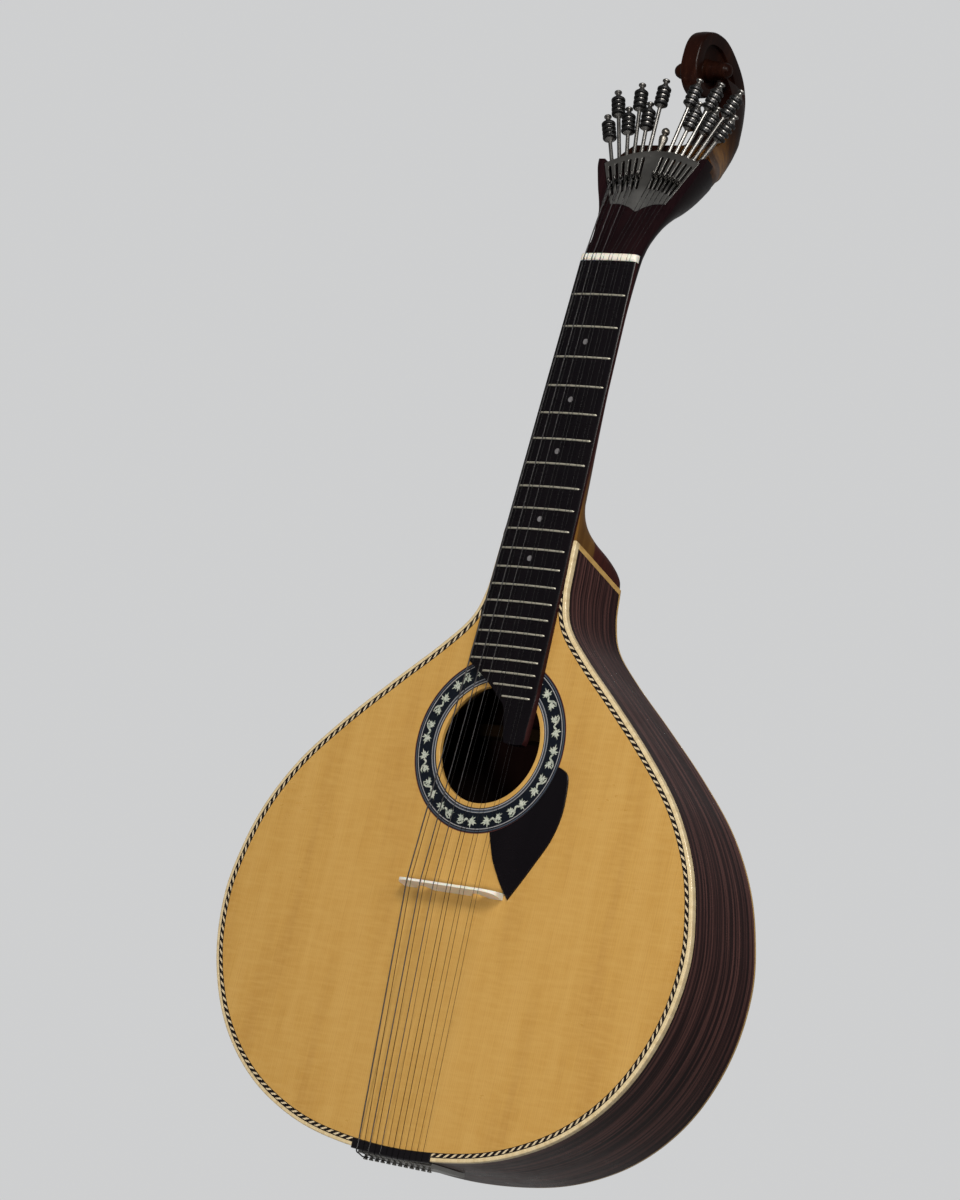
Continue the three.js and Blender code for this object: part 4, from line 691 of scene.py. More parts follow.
depth = math_node(tree, "MULTIPLY_ADD", grain["Pores"], -1.0, math_node(tree, "MULTIPLY", grain["Fibres"], 0.3))
ebony_tone = mix_colour(tree, part_of(tree, grain["Pores"], 0.6), ebony_base, (0.003, 0.002, 0.002))
dress(tree, shader, ebony_tone, (0.22, 0.36), (depth, 0.15, 0.00005))
guard_arc = [Vector((GUARD_ARC_RADIUS * math.cos(t), HOLE_HEIGHT + GUARD_ARC_RADIUS * math.sin(t)))
             for t in (math.radians(-73 + 64 * i / 40) for i in range(41))]
guard_points = [(x * GUARD_WIDTH, HOLE_HEIGHT - down * GUARD_LENGTH) for x, down in guard_edge_shares]
outer_side = smooth_path([guard_arc[-1]] + guard_points[:7], 8)
inner_side = smooth_path(guard_points[6:] + [guard_arc[0]], 6)
guard_ring = guard_arc + outer_side[1:] + inner_side[1:-1]
pickguard = plate("finger_plate", [guard_ring], -GUARD_THICKNESS, 0.02, place, 0.42)
pickguard.data.materials.append(ebony)
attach(pickguard, "instrument")
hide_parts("pickguard")

# Fingerboard: ebony, cambered and tapered, rising a little towards the body, its lower end cut on a
# slant that leaves a tongue over the soundhole. It is glued on the neck; its edges are stained red-brown.
NUT_HEIGHT = 624
STRING_LENGTH = 443.5
BOARD_OVER_BODY = 115
BOARD_END = BODY_LENGTH - BOARD_OVER_BODY
BOARD_HALF_WIDTH_AT_NUT = 23.5
BOARD_HALF_WIDTH_AT_JOINT = 28.9
EDGE_ROUND = 0.45
BOARD_FRONT = (0.2, 4.9)
BOARD_FOOT = (4.8, -0.3)
BOARD_CAMBER = 1.5
board_end_shares = [
    (-1, 0.78), (-0.58, 0.85), (-0.2, 0.92), (0.09, 0.985), (0.29, 1.04), (0.4, 1.14), (0.47, 1.225), (0.53, 1.252),
    (0.9, 1.252), (0.96, 1.225), (0.985, 1.15), (1, 1.03)]


def lerp(a, b, share):
    return a + (b - a) * share


def at_board(z, at_nut, at_joint):
    return lerp(at_nut, at_joint, (NUT_HEIGHT - z) / (NUT_HEIGHT - BODY_LENGTH))


def board_half(z):
    return at_board(z, BOARD_HALF_WIDTH_AT_NUT, BOARD_HALF_WIDTH_AT_JOINT)


def board_front(z, x=0.0):
    return -at_board(z, *BOARD_FRONT) + BOARD_CAMBER * (x / BOARD_HALF_WIDTH_AT_NUT) ** 2


def board_foot(z):
    return max(at_board(z, *BOARD_FOOT), BOARD_FOOT[1])


end_half = board_half(BOARD_END)
end_path = smooth_path([(side * end_half, BODY_LENGTH - down * BOARD_OVER_BODY) for side, down in board_end_shares], 5)


def end_height(side_share):
    """How high the lower end of the board is at a share of its half width (its lowest point there)."""
    x = side_share * end_half
    best = None
    for a, b in zip(end_path, end_path[1:]):
        low, high = min(a.x, b.x), max(a.x, b.x)
        if low - 1e-6 <= x <= high + 1e-6:
            share = 0 if abs(b.x - a.x) < 1e-9 else (x - a.x) / (b.x - a.x)
            z = a.y + (b.y - a.y) * share
            best = z if best is None else min(best, z)
    return best


columns = [-1 + 2 * i / 60 for i in range(61)]
ends = [end_height(max(-0.9999, min(c, 0.9999))) for c in columns]
board_shape = bmesh.new()
top_rows, foot_rows = [], []
for level in (0, 0.02, 0.05, 0.1, 0.2, 0.35, 0.5, 0.65, 0.8, 0.9, 1):
    top_row, foot_row = [], []
    for c, low in zip(columns, ends):
        z = lerp(low, NUT_HEIGHT - 0.05, level)
        half = board_half(z)
        x = c * half
        rounding = max(0.0, abs(x) - (half - EDGE_ROUND)) / EDGE_ROUND
        end_round = max(0.0, 1 - (z - low) / EDGE_ROUND) if level < 0.5 else 0.0
        sink = EDGE_ROUND * (1 - math.sqrt(max(0.0, 1 - rounding ** 2))) + 0.3 * end_round
        top_row.append(board_shape.verts.new(place(x, board_front(z, x) + sink, z)))
        foot_row.append(board_shape.verts.new(place(x, board_foot(z) + 0.1, z)))
    top_rows.append(top_row)
    foot_rows.append(foot_row)
skin(board_shape, [top_row + foot_row[::-1] for top_row, foot_row in zip(top_rows, foot_rows)], False)
for top_row, foot_row in ((top_rows[0], foot_rows[0]), (top_rows[-1], foot_rows[-1])):
    for j in range(len(columns) - 1):
        board_shape.faces.new((top_row[j], top_row[j + 1], foot_row[j + 1], foot_row[j]))
fingerboard = from_bmesh("fingerboard_ebony", board_shape, 40)
fingerboard.data.materials.append(ebony)
stained_edge, tree, shader = new_material("board_edge_stained", Roughness=0.5, IOR=1.45, Specular_IOR_Level=0.12)
edge_fibres = noise(tree, object_place(tree), (900.0, 900.0, 40.0), 3.0, 0.6)
dress(tree, shader, mix_colour(tree, edge_fibres, (0.008, 0.0025, 0.003), (0.045, 0.012, 0.012)))
fingerboard.data.materials.append(stained_edge)
for polygon in fingerboard.data.polygons:
    polygon.material_index = 1 if abs(polygon.normal.x) > 0.8 else 0
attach(fingerboard, "instrument")
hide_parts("fingerboard")

# Frets: twenty-one round-topped nickel bars hammered into the board, their ends bevelled and rounded.
# The playing side is bright.
FRET_COUNT = 21
FRET_HALF_WIDTH = 0.75
FRET_RISE = 1.42
FRET_FOOT = 0.5
FRET_END_LENGTH = 1.6
fret_metal, tree, shader = new_material("fret_nickel", Metallic=0.7)
scratch = noise(tree, object_place(tree), (300.0, 900.0, 4200.0), 3.0, 0.6)
dress(tree, shader, ramp(tree, scratch, [(0.3, (0.7, 0.66, 0.52)), (0.6, (0.86, 0.83, 0.7)), (0.8, (0.92, 0.9, 0.8))]),
      (0.38, 0.52), (scratch, 0.1, 0.00003))


def fret_height(number):
    return NUT_HEIGHT - STRING_LENGTH * (1 - 2 ** (-number / 12))


fret_shape = bmesh.new()
for number in range(1, FRET_COUNT + 1):
    middle = fret_height(number)
    left, right = 1.5 - board_half(middle), board_half(middle) - at_board(middle, 1.6, 2.9)
    clear = [c * board_half(middle) for c, low in zip(columns, ends) if low < middle - 2]
    if number > 15 and clear:
        left, right = max(left, min(clear) + 0.6), min(right, max(clear) - 0.8)
    rings = []
    for share in (0, 0.006, 0.016, 0.032, 0.06, 0.12, 0.2, 0.3, 0.4, 0.5, 0.6, 0.7, 0.8, 0.88, 0.94, 0.968, 0.984,
                  0.994, 1):
        x = lerp(left, right, share)
        from_end = min(x - left, right - x)
        droop = math.sqrt(max(0.0, 1 - max(0.0, 1 - from_end / FRET_END_LENGTH) ** 2))
        base = board_front(middle, x) + FRET_FOOT
        half = FRET_HALF_WIDTH * (0.35 + 0.65 * droop)
        rings.append([fret_shape.verts.new(place(x, base - (FRET_RISE * droop + 0.02) * math.sin(turn),
                                                 middle + half * math.cos(turn)))
                      for turn in (math.pi * k / 8 for k in range(9))])
    skin(fret_shape, rings)
frets = from_bmesh("frets_nickel", fret_shape, 50)
frets.data.materials.append(fret_metal)
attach(frets, "instrument")

# Position dots: five small discs of grey mother-of-pearl let in flush on the middle line of the board, in
# the third, fifth, seventh, tenth and twelfth spaces between the frets.
DOT_RADIUS = 2.0
grey_pearl, tree, shader = new_material("grey_pearl", Roughness=0.3, IOR=1.6)
dress(tree, shader, mix_colour(tree, noise(tree, object_place(tree), 700.0), (0.07, 0.07, 0.075), (0.26, 0.25, 0.26)))
dots = bmesh.new()
for space in (3, 5, 7, 10, 12):
    rim = circle(DOT_RADIUS, (fret_height(space - 1) + fret_height(space)) / 2, 32)
    skin(dots, [[dots.verts.new(place(p.x, board_front(p.y, p.x) + depth, p.y)) for p in rim] for depth in (-0.03, 0.5)])
pearl_dots = from_bmesh("position_dots", dots)
pearl_dots.data.materials.append(grey_pearl)
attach(pearl_dots, "instrument")

# Neck: one piece of mahogany with heel and head, half round behind the board and squarer at the heel,
# which meets the body on a slant. The head is hollowed in front for the tuner's screws.
HEEL_DEPTH = 61.5
HEEL_LENGTH = 46
HEEL_FOOT_DEPTH = 59.7
HEEL_HALF_WIDTH = 31.2
HEEL_TOP = 456
NECK_DEPTH = 15.8
NECK_DEPTH_AT_NUT = 17.1
NUT_LEDGE = 5.1
NUT_LEDGE_LENGTH = 5.5
HEAD_LENGTH = 84.5
HEAD_HALF_WIDTH = 46.8
HEAD_DEPTH = 75
HEAD_SETBACK = 11.8
HEAD_TILT = math.radians(8)
FAN_CENTRE = 4
FAN_TOP_RADIUS = 86.8
FAN_FOOT_RADIUS = 50.6
FAN_HALF_ANGLE = 27.6
PLATE_FOOT = 43
heel_shares = [
    (-0.2, 1, 1, 0.95), (0.02, 1, 1, 0.95), (0.14, 0.985, 1, 0.9), (0.26, 0.89, 0.97, 0.8), (0.38, 0.725, 0.9, 0.62),
    (0.48, 0.485, 0.78, 0.42), (0.61, 0.237, 0.52, 0.25), (0.77, 0.08, 0.2, 0.12), (0.95, 0, 0, 0.06)]
head_shares = [
    (0.075, 0.517, 0.27), (0.15, 0.515, 0.295), (0.24, 0.527, 0.34), (0.38, 0.585, 0.431), (0.51, 0.66, 0.572),
    (0.6, 0.722, 0.703), (0.71, 0.812, 0.824), (0.83, 0.9, 0.925), (0.93, 0.965, 0.993), (1.08, 1, 1.06)]


def loft(name, rows, smooth_degrees=32):
    """A skin over matching rows of points, each row a closed ring."""
    shape = bmesh.new()
    skin(shape, [[shape.verts.new(p) for p in row] for row in rows])
    return from_bmesh(name, shape, smooth_degrees)


def eased(table, place_on):
    """A smooth value row at a place, through a table of (place, value, value, ...) rows."""
    i = 0
    while i < len(table) - 2 and table[i + 1][0] < place_on:
        i += 1
    a, b = table[i], table[i + 1]
    before, after = table[max(i - 1, 0)], table[min(i + 2, len(table) - 1)]
    width = b[0] - a[0]
    t = min(max((place_on - a[0]) / width, 0), 1)
    row = []
    for k in range(1, len(a)):
        slope = (b[k] - a[k]) / width
        slope_a = slope if i == 0 else ((a[k] - before[k]) / (a[0] - before[0]) + slope) / 2
        slope_b = slope if i == len(table) - 2 else (slope + (after[k] - b[k]) / (after[0] - b[0])) / 2
        if slope_a * slope <= 0:
            slope_a = 0
        if slope_b * slope <= 0:
            slope_b = 0
        row.append((2 * t ** 3 - 3 * t ** 2 + 1) * a[k] + (t ** 3 - 2 * t ** 2 + t) * width * slope_a
                   + (3 * t ** 2 - 2 * t ** 3) * b[k] + (t ** 3 - t ** 2) * width * slope_b)
    return row


def round_section(half, front, back, squareness, steps=22):
    power = 1 - squareness
    side = []
    for i in range(steps + 1):
        turn = math.pi / 2 * i / steps
        side.append((half * max(math.cos(turn), 0) ** power if i < steps else 0,
                     front + (back - front) * math.sin(turn) ** power))
    return side + [(-x, y) for x, y in side[-2::-1]]


def neck_front(z):
    if z <= NUT_HEIGHT:
        return max(board_foot(z) + 0.3, 0)
    h = z - NUT_HEIGHT
    plate_face = HEAD_SETBACK + math.tan(HEAD_TILT) * h
    if h >= PLATE_FOOT:
        return plate_face
    foot_face = HEAD_SETBACK + math.tan(HEAD_TILT) * PLATE_FOOT
    share = (h - NUT_LEDGE_LENGTH) / (PLATE_FOOT - NUT_LEDGE_LENGTH)
    return max(NUT_LEDGE, lerp(NUT_LEDGE, foot_face, share))



heel_foot = BODY_LENGTH - JOINT_SLOPE * HEEL_FOOT_DEPTH
neck_table = []
for up, deep, wide, square in heel_shares:
    z = heel_foot + up * HEEL_LENGTH
    front = neck_front(z)
    neck_table.append((z, lerp(board_half(z), HEEL_HALF_WIDTH, wide), front + lerp(NECK_DEPTH, HEEL_DEPTH - front, deep),
                       square))
neck_table.append((NUT_HEIGHT, BOARD_HALF_WIDTH_AT_NUT, NECK_DEPTH_AT_NUT, 0.06))
for up, wide, deep in head_shares:
    neck_table.append((NUT_HEIGHT + up * HEAD_LENGTH, wide * HEAD_HALF_WIDTH, deep * HEAD_DEPTH, -0.1))
neck_levels = [lerp(neck_table[0][0], HEEL_TOP, i / 40) for i in range(40)]
neck_levels += [lerp(HEEL_TOP, NUT_HEIGHT - 2, i / 24) for i in range(25)]
neck_levels += [lerp(NUT_HEIGHT, neck_table[-1][0], i / 70) for i in range(71)]
neck_rows = []
for z in neck_levels:
    half, back, square = eased(neck_table, z)
    neck_rows.append([place(x, y, z) for x, y in round_section(half, neck_front(z), back, square)])
neck = loft("neck_wood", neck_rows, 40)
cut_piece(neck, 0.05, True)


def head_place(x, d, u):
    return place(x, d * math.cos(HEAD_TILT) + u * math.sin(HEAD_TILT) + HEAD_SETBACK,
                 -d * math.sin(HEAD_TILT) + u * math.cos(HEAD_TILT) + NUT_HEIGHT)


def fan_point(radius, degrees):
    return Vector((radius * math.sin(math.radians(degrees)), FAN_CENTRE + radius * math.cos(math.radians(degrees))))


def fan_arc(radius, half_degrees, steps=36):
    return [fan_point(radius, lerp(-half_degrees, half_degrees, i / steps)) for i in range(steps + 1)]


def plate_outline(grow):
    half = FAN_HALF_ANGLE + math.degrees(grow / FAN_FOOT_RADIUS)
    corner = fan_point(FAN_FOOT_RADIUS - grow, half)
    drop = corner.y - PLATE_FOOT + grow
    foot = smooth_path([corner] + [(side * corner.x, corner.y - down * drop) for side, down in
                                   ((0.68, 0), (0.5, 0.12), (0.28, 0.42), (0.1, 0.8), (0, 1))], 5)[1:]
    return fan_arc(FAN_TOP_RADIUS + grow, half) + [corner] + foot + [Vector((-p.x, p.y)) for p in foot[-2::-1]] + [
        Vector((-corner.x, corner.y))]


def cutter_block(outline, front, back, put):
    shape = bmesh.new()
    slab(shape, outline, front, back, put)
    return from_bmesh("cutter", shape)


def carve(piece, cutters):
    for cutter in cutters:
        step = piece.modifiers.new("carve", "BOOLEAN")
        step.operation = "DIFFERENCE"
        step.solver = "EXACT"
        step.object = cutter
    carved = bpy.data.meshes.new_from_object(piece.evaluated_get(bpy.context.evaluated_depsgraph_get()))
    piece.modifiers.clear()
    piece.data = carved
    for cutter in cutters:
        bpy.data.objects.remove(cutter)
    carved.shade_smooth()
    carved.set_sharp_from_angle(angle=math.radians(32))


def box_outline(left, right, low, high):
    return [Vector((left, low)), Vector((right, low)), Vector((right, high)), Vector((left, high))]


HOLLOW_RADII = (171, 53.3)
HOLLOW_HALF_ANGLE = 26.9
HOLLOW_DEPTH = 8.6
PLATE_RECESS = 1.75
SCROLL_SEAT = 80
SCROLL_SEAT_DEPTH = 10.4
outer_arc, inner_arc = (fan_arc(radius, HOLLOW_HALF_ANGLE) for radius in HOLLOW_RADII)
carve(neck, [
    cutter_block(outer_arc + inner_arc[::-1], -30, HOLLOW_DEPTH, head_place),
    cutter_block(plate_outline(0.25), -30, PLATE_RECESS, head_place),
    cutter_block(box_outline(-200, 200, HEAD_LENGTH, 300), -200, 200, head_place),
    cutter_block(box_outline(-200, 200, SCROLL_SEAT, 300), SCROLL_SEAT_DEPTH, 300, head_place)])


def reddish_wood(name, dark, mid, light, coat_roughness, spacing=0.0035):
    material, tree, shader = new_material(name, IOR=1.45, Specular_IOR_Level=0.12, Coat_Weight=0.1,
                                          Coat_Roughness=coat_roughness, Coat_IOR=1.45)
    grain = wood_grain(tree, object_place(tree), spacing, 0.012, 0.004)
    base = ramp(tree, grain["Figure"], [(0.28, dark), (0.5, mid), (0.76, light)])
    grained(tree, shader, grain, base, dark, light, (0.55, 0.8, -0.28, 0.75), (0.24, 0.42), (0.2, 0.00005))
    return material


def shader_of(material):
    return next(node for node in material.node_tree.nodes if node.type == "BSDF_PRINCIPLED").inputs


mahogany = reddish_wood("mahogany_dark", (0.003, 0.0013, 0.002), (0.008, 0.0032, 0.0045), (0.019, 0.0068, 0.008), 0.12)
tree, shader = mahogany.node_tree, shader_of(mahogany)
axes = split_axes(tree, object_place(tree))
red_share = part_of(tree, map_range(tree, axes["Z"], 0.62, 0.46, smooth=True), 0.9)
gold_share = math_node(tree, "MULTIPLY", map_range(tree, axes["Z"], 0.485, 0.45),
                       map_range(tree, axes["Y"], -0.0055, -0.0075))
reddened = mix_colour(tree, red_share, shader["Base Color"].links[0].from_socket, (7.0, 3.6, 2.0), "MULTIPLY")
golden = ramp(tree, wood_grain(tree, object_place(tree), 0.0022, 0.01)["Figure"],
              [(0.3, (0.055, 0.022, 0.005)), (0.5, (0.15, 0.07, 0.016)), (0.75, (0.26, 0.135, 0.036))])
dress(tree, shader, mix_colour(tree, gold_share, reddened, golden))
neck.data.materials.clear()
neck.data.materials.append(mahogany)
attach(neck, "instrument")
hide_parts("neck")

# Scroll: carved from one block of figured walnut, glued on top of the head. A stem behind the knobs
# leads into a spiral that curls forward round a turned eye with a knob on each side.
stem_shares = [
    (-0.1, 3, 0.217, 0.7, -0.1), (0, 3.243, 0.229, 0.75, -0.1), (0.07, 3.02, 0.24, 0.82, -0.1),
    (0.14, 2.64, 0.253, 0.913, -0.1), (0.21, 2.1, 0.34, 0.957, 0), (0.3, 1.5, 0.55, 0.999, 0.15),
    (0.4, 1.107, 0.74, 1.037, 0.3), (0.55, 0.95, 0.82, 1.081, 0.35), (0.72, 0.92, 0.84, 1.075, 0.35),
    (0.85, 0.78, 0.832, 1.078, 0.35), (0.93, 0.66, 0.806, 1.056, 0.35), (0.97, 0.59, 0.78, 1.034, 0.35),
    (1, 0.54, 0.75, 1.008, 0.35)]
STEM_LENGTH = 85
STEM_HALF_WIDTH = 14
STEM_DEPTH = 100
stem_table = [(SCROLL_SEAT + up * STEM_LENGTH, wide * STEM_HALF_WIDTH, front * STEM_DEPTH, back * STEM_DEPTH, square)
              for up, wide, front, back, square in stem_shares]
stem_rows = []
for i in range(81):
    h = lerp(stem_table[0][0], stem_table[-1][0], i / 80)
    stem_rows.append([place(x, y, NUT_HEIGHT + h) for x, y in round_section(*eased(stem_table, h))])
stem = loft("scroll_stem", stem_rows, 50)
carve(stem, [cutter_block(box_outline(-200, 200, -200, SCROLL_SEAT + 0.05), -200, 200, head_place),
             cutter_block(box_outline(-200, 200, -200, 115), -200, SCROLL_SEAT_DEPTH + 0.05, head_place)])

VOLUTE_RADIUS = 51
VOLUTE_HALF_WIDTH = 7
EYE = (57, NUT_HEIGHT + 163)
EYE_RADIUS = 8.4
EYE_HALF_WIDTH = 23.5
path_shares = [1, 0.66, 0.556, 0.516, 0.4, 0.385, 0.395, 0.352, 0.274, 0.216]
rim_shares = [0.3, 0.235, 0.19, 0.173, 0.157, 0.141, 0.134, 0.125, 0.1, 0.08]
volute_table = [(i / 9, VOLUTE_RADIUS * path, VOLUTE_RADIUS * rim) for i, (path, rim) in
                enumerate(zip(path_shares, rim_shares))]


def volute_place(radius, share, side):
    turn = math.radians(share * 400 - 12)
    return place(side, EYE[0] + radius * math.cos(turn), EYE[1] + radius * math.sin(turn))


rim_rows = []
for i in range(161):
    share = i / 160
    outer, thick = eased(volute_table, share)
    inner = outer - thick
    edge = min(1.7, thick * 0.3)
    corner = [math.pi / 2 * k / 5 for k in range(6)]
    side = VOLUTE_HALF_WIDTH
    section = [(inner, 0.8 - side), (inner + 0.3, 0.1 - side), (inner + 1.0, -side)]
    section += [(outer - edge + edge * math.sin(t), -side + edge - edge * math.cos(t)) for t in corner]
    section += [(outer + 0.35 * (1 - (s / 4.5) ** 2), s) for s in (-3.5, -1.8, 0, 1.8, 3.5)]
    section += [(outer - edge + edge * math.cos(t), side - edge + edge * math.sin(t)) for t in corner]
    section += [(inner + 1.0, side), (inner + 0.3, side - 0.1), (inner, side - 0.8)]
    rim_rows.append([volute_place(radius, share, across) for radius, across in section])
rim = loft("scroll_rim", rim_rows, 45)

web_shape = bmesh.new()
web_rows = []
for i in range(2, 144):
    share = i / 160
    outer, thick = eased(volute_table, share)
    web_rows.append([(share, lerp(outer - thick * 0.6, 6.5, t), 3.2 + 2.6 * (1 - t) ** 3)
                     for t in (k / 8 for k in range(9))])
for side in (-1, 1):
    grid = [[web_shape.verts.new(volute_place(radius, share, side * depth)) for share, radius, depth in row]
            for row in web_rows]
    for one, two in zip(grid, grid[1:] + grid[:1]):
        for k in range(8):
            web_shape.faces.new((one[k], one[k + 1], two[k + 1], two[k]))
web = from_bmesh("scroll_web", web_shape, 50)


def turned_piece(name, profile, sides=40, smooth_degrees=32, frame_matrix=None):
    """A piece turned about its own Z axis from (radius, height) pairs in millimetres."""
    shape = bmesh.new()
    rings = []
    for radius, height in profile:
        if radius < 1e-6:
            rings.append([shape.verts.new((0, 0, height / 1000))])
        else:
            rings.append([shape.verts.new((radius * math.cos(2 * math.pi * i / sides) / 1000,
                                           radius * math.sin(2 * math.pi * i / sides) / 1000, height / 1000))
                          for i in range(sides)])
    for one, two in zip(rings, rings[1:]):
        for i in range(sides):
            j = (i + 1) % sides
            corners = [one[i % len(one)], one[j % len(one)], two[j % len(two)], two[i % len(two)]]
            unique = list(dict.fromkeys(corners))
            if len(unique) > 2:
                shape.faces.new(unique)
    if frame_matrix is not None:
        shape.transform(frame_matrix)
    return from_bmesh(name, shape, smooth_degrees)


eye_shares = [(1, 0.14), (0.93, 0.2), (0.8, 0.45), (0.68, 0.78), (0.6, 0.86), (0.4, 0.96)]
eye_half = [(wide * EYE_RADIUS, out * EYE_HALF_WIDTH) for wide, out in eye_shares] + [(0, EYE_HALF_WIDTH)]
eye_points = smooth_path(eye_half[::-1] + [(wide, -out) for wide, out in eye_half], 5)
eye_frame = Matrix.Translation(place(0, *EYE)) @ Matrix.Rotation(math.pi / 2, 4, "Y")
eye = turned_piece("scroll_eye", [(max(p.x, 0), p.y) for p in eye_points], 40, 50, eye_frame)

walnut = reddish_wood("walnut_figured", (0.0025, 0.0009, 0.0008), (0.009, 0.0028, 0.002), (0.034, 0.0105, 0.005), 0.06,
                      0.005)
tree, shader = walnut.node_tree, shader_of(walnut)
axes = split_axes(tree, object_place(tree))
# The root of the stem turns golden orange on its treble flank only: partly lighter figured wood at the root, partly a
# painted highlight on the flank that faces the lamps.
root_and_highlight_share = math_node(tree, "MULTIPLY", map_range(tree, axes["Z"], 0.775, 0.72, smooth=True),
                       map_range(tree, axes["X"], 0.006, 0.02))
figure = wood_grain(tree, object_place(tree), 0.003, 0.01)["Figure"]
root_and_highlight_tone = ramp(tree, figure, [(0.3, (0.016, 0.006, 0.002)), (0.48, (0.1, 0.037, 0.007)), (0.62, (0.38, 0.17, 0.03)),
                                (0.8, (0.15, 0.055, 0.01))])
scroll_tone = mix_colour(tree, root_and_highlight_share, shader["Base Color"].links[0].from_socket, root_and_highlight_tone)
dress(tree, shader, scroll_tone)


def copy_of(material, name, **sockets):
    copied = material.copy()
    copied.name = name
    for key, value in sockets.items():
        shader_of(copied)[key.replace("_", " ")].default_value = value
    return copied


# The web and the eye take a less glossy copy of the walnut that makes them look shaded: painted shade of the hollow. On
# the rim the faces towards the front of the volute are painted lighter and redder: a painted highlight.
walnut_dulled_shade = copy_of(walnut, "walnut_dulled_shade", Specular_IOR_Level=0.08, Coat_Weight=0.02)
# Painted highlight: faces of the rim that face the front get a lighter, redder tone.
facing = split_axes(tree, add(tree, "ShaderNodeTexCoord").outputs["Normal"])["Y"]
rim_share = math_node(tree, "MULTIPLY", map_range(tree, facing, -0.15, -0.8), map_range(tree, axes["Z"], 0.745, 0.765))
rim_highlight_tone = ramp(tree, figure, [(0.36, (0.005, 0.0016, 0.0012)), (0.54, (0.016, 0.0046, 0.003)),
                               (0.74, (0.06, 0.02, 0.0105))])
dress(tree, shader, mix_colour(tree, rim_share, scroll_tone, rim_highlight_tone))
for piece in (stem, rim, web, eye):
    piece.data.materials.clear()
    piece.data.materials.append(walnut_dulled_shade if piece in (web, eye) else walnut)
    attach(piece, "instrument")
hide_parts("scroll")

# Nut: a bone bar in front of the head, rounded along its top and at its ends, with a fine notch for
# each string.
STRING_DIAMETERS = [0.92, 0.4, 0.76, 0.38, 0.56, 0.25, 0.38, 0.38, 0.28, 0.28, 0.25, 0.25]
NUT_THICKNESS = 5.2
NUT_RISE = 1.1
NUT_FOOT = 4.8


def in_pairs(number, half_spread, spacing):
    reach = half_spread - spacing / 2
    return lerp(-reach, reach, (number // 2) / 5) + (number % 2 - 0.5) * spacing


nut_x = [in_pairs(n, 19.4, 2.6) for n in range(12)]
bone, tree, shader = new_material("bone_polished", IOR=1.54, Subsurface_Weight=0.25, Subsurface_Scale=0.002,
                                  Coat_Weight=0.3, Coat_Roughness=0.1)
at = object_place(tree)
bone_streak = noise(tree, at, (90.0, 900.0, 900.0), 4.0, 0.6)
bone_tone = mix_colour(tree, bone_streak, (0.8, 0.75, 0.63), (0.92, 0.89, 0.82))
dress(tree, shader, mix_colour(tree, part_of(tree, noise(tree, at, 70.0), 1.0, -0.5), bone_tone, (0.72, 0.62, 0.45)),
      (0.25, 0.45), (bone_streak, 0.15, 0.00005))
stations = [BOARD_HALF_WIDTH_AT_NUT * (i / 35 - 1) for i in range(71)]
for x, d in zip(nut_x, STRING_DIAMETERS):
    stations += [x - d / 2 - 0.12, x - d / 2, x - d / 4, x, x + d / 4, x + d / 2, x + d / 2 + 0.12]
nut_rows = []
for x in sorted(stations):
    from_end = BOARD_HALF_WIDTH_AT_NUT - abs(x)
    droop = 2.2 * (1 - math.sqrt(max(0.0, 1 - max(0.0, 1 - from_end / 2.6) ** 2)))
    notch = 0.0
    for sx, d in zip(nut_x, STRING_DIAMETERS):
        if abs(x - sx) <= d / 2:
            notch = max(notch, d * 0.45 + d / 2 * math.sqrt(max(0.0, 1 - (2 * (x - sx) / d) ** 2)))
    top = board_front(NUT_HEIGHT, x) - NUT_RISE + droop
    shoulder = max(top + 1.0, top + notch * 0.9)
    ring = [(0, NUT_FOOT), (0, shoulder)]
    ring += [(NUT_THICKNESS / 2 * (1 - math.cos(t)), top + 1.0 - 1.0 * math.sin(t) + notch * math.sin(t))
             for t in (math.pi * k / 8 for k in range(1, 8))]
    ring += [(NUT_THICKNESS, shoulder), (NUT_THICKNESS, NUT_FOOT)]
    nut_rows.append([place(x, y, NUT_HEIGHT + up) for up, y in ring])
nut = loft("nut_bone", nut_rows, 40)
nut.data.materials.append(bone)
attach(nut, "instrument")
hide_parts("nut")

# Bridge: a thin bone bar that stands loose on the soundboard on three feet, held by the strings, with
# two open arches and a notch for each string.
BRIDGE_HEIGHT = 13.8
BRIDGE_HALF_WIDTH = 41
BRIDGE_AT = NUT_HEIGHT - STRING_LENGTH
bridge_x = [in_pairs(n, 30, 3.4) for n in range(12)]
bridge_left = [(-1, 0), (-1, 0.5), (-0.97, 0.72), (-0.9, 0.9), (-0.78, 1)]
bridge_arches = [(0.74, 0), (0.7, 0.2), (0.62, 0.42), (0.56, 0.46), (0.5, 0.42), (0.42, 0.2), (0.38, 0)]
left_end, right_arch = (smooth_path([(side * BRIDGE_HALF_WIDTH, up * BRIDGE_HEIGHT) for side, up in shares], 5)
                        for shares in (bridge_left, bridge_arches))
right_end, left_arch = ([Vector((-p.x, p.y)) for p in path[::-1]] for path in (left_end, right_arch))
top_line = []
for x, d in zip(bridge_x, STRING_DIAMETERS):
    top_line += [Vector((x - d / 2 - 0.2, BRIDGE_HEIGHT)), Vector((x - d / 4, BRIDGE_HEIGHT - d * 0.55)),
                 Vector((x + d / 4, BRIDGE_HEIGHT - d * 0.55)), Vector((x + d / 2 + 0.2, BRIDGE_HEIGHT))]


def bridge_place(x, depth, up):
    spread = 0.58 + (1.5 if depth < 0 else 0.42) * (1 - up / BRIDGE_HEIGHT)
    return place(x, -up, BRIDGE_AT + depth * spread)


bridge = plate("bridge_bone", [left_end + top_line + right_end + right_arch + left_arch], -1.5, 1.5, bridge_place,
               0.28, 32, 0.28)
bridge.data.materials.append(bone)
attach(bridge, "instrument")
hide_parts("bridge")

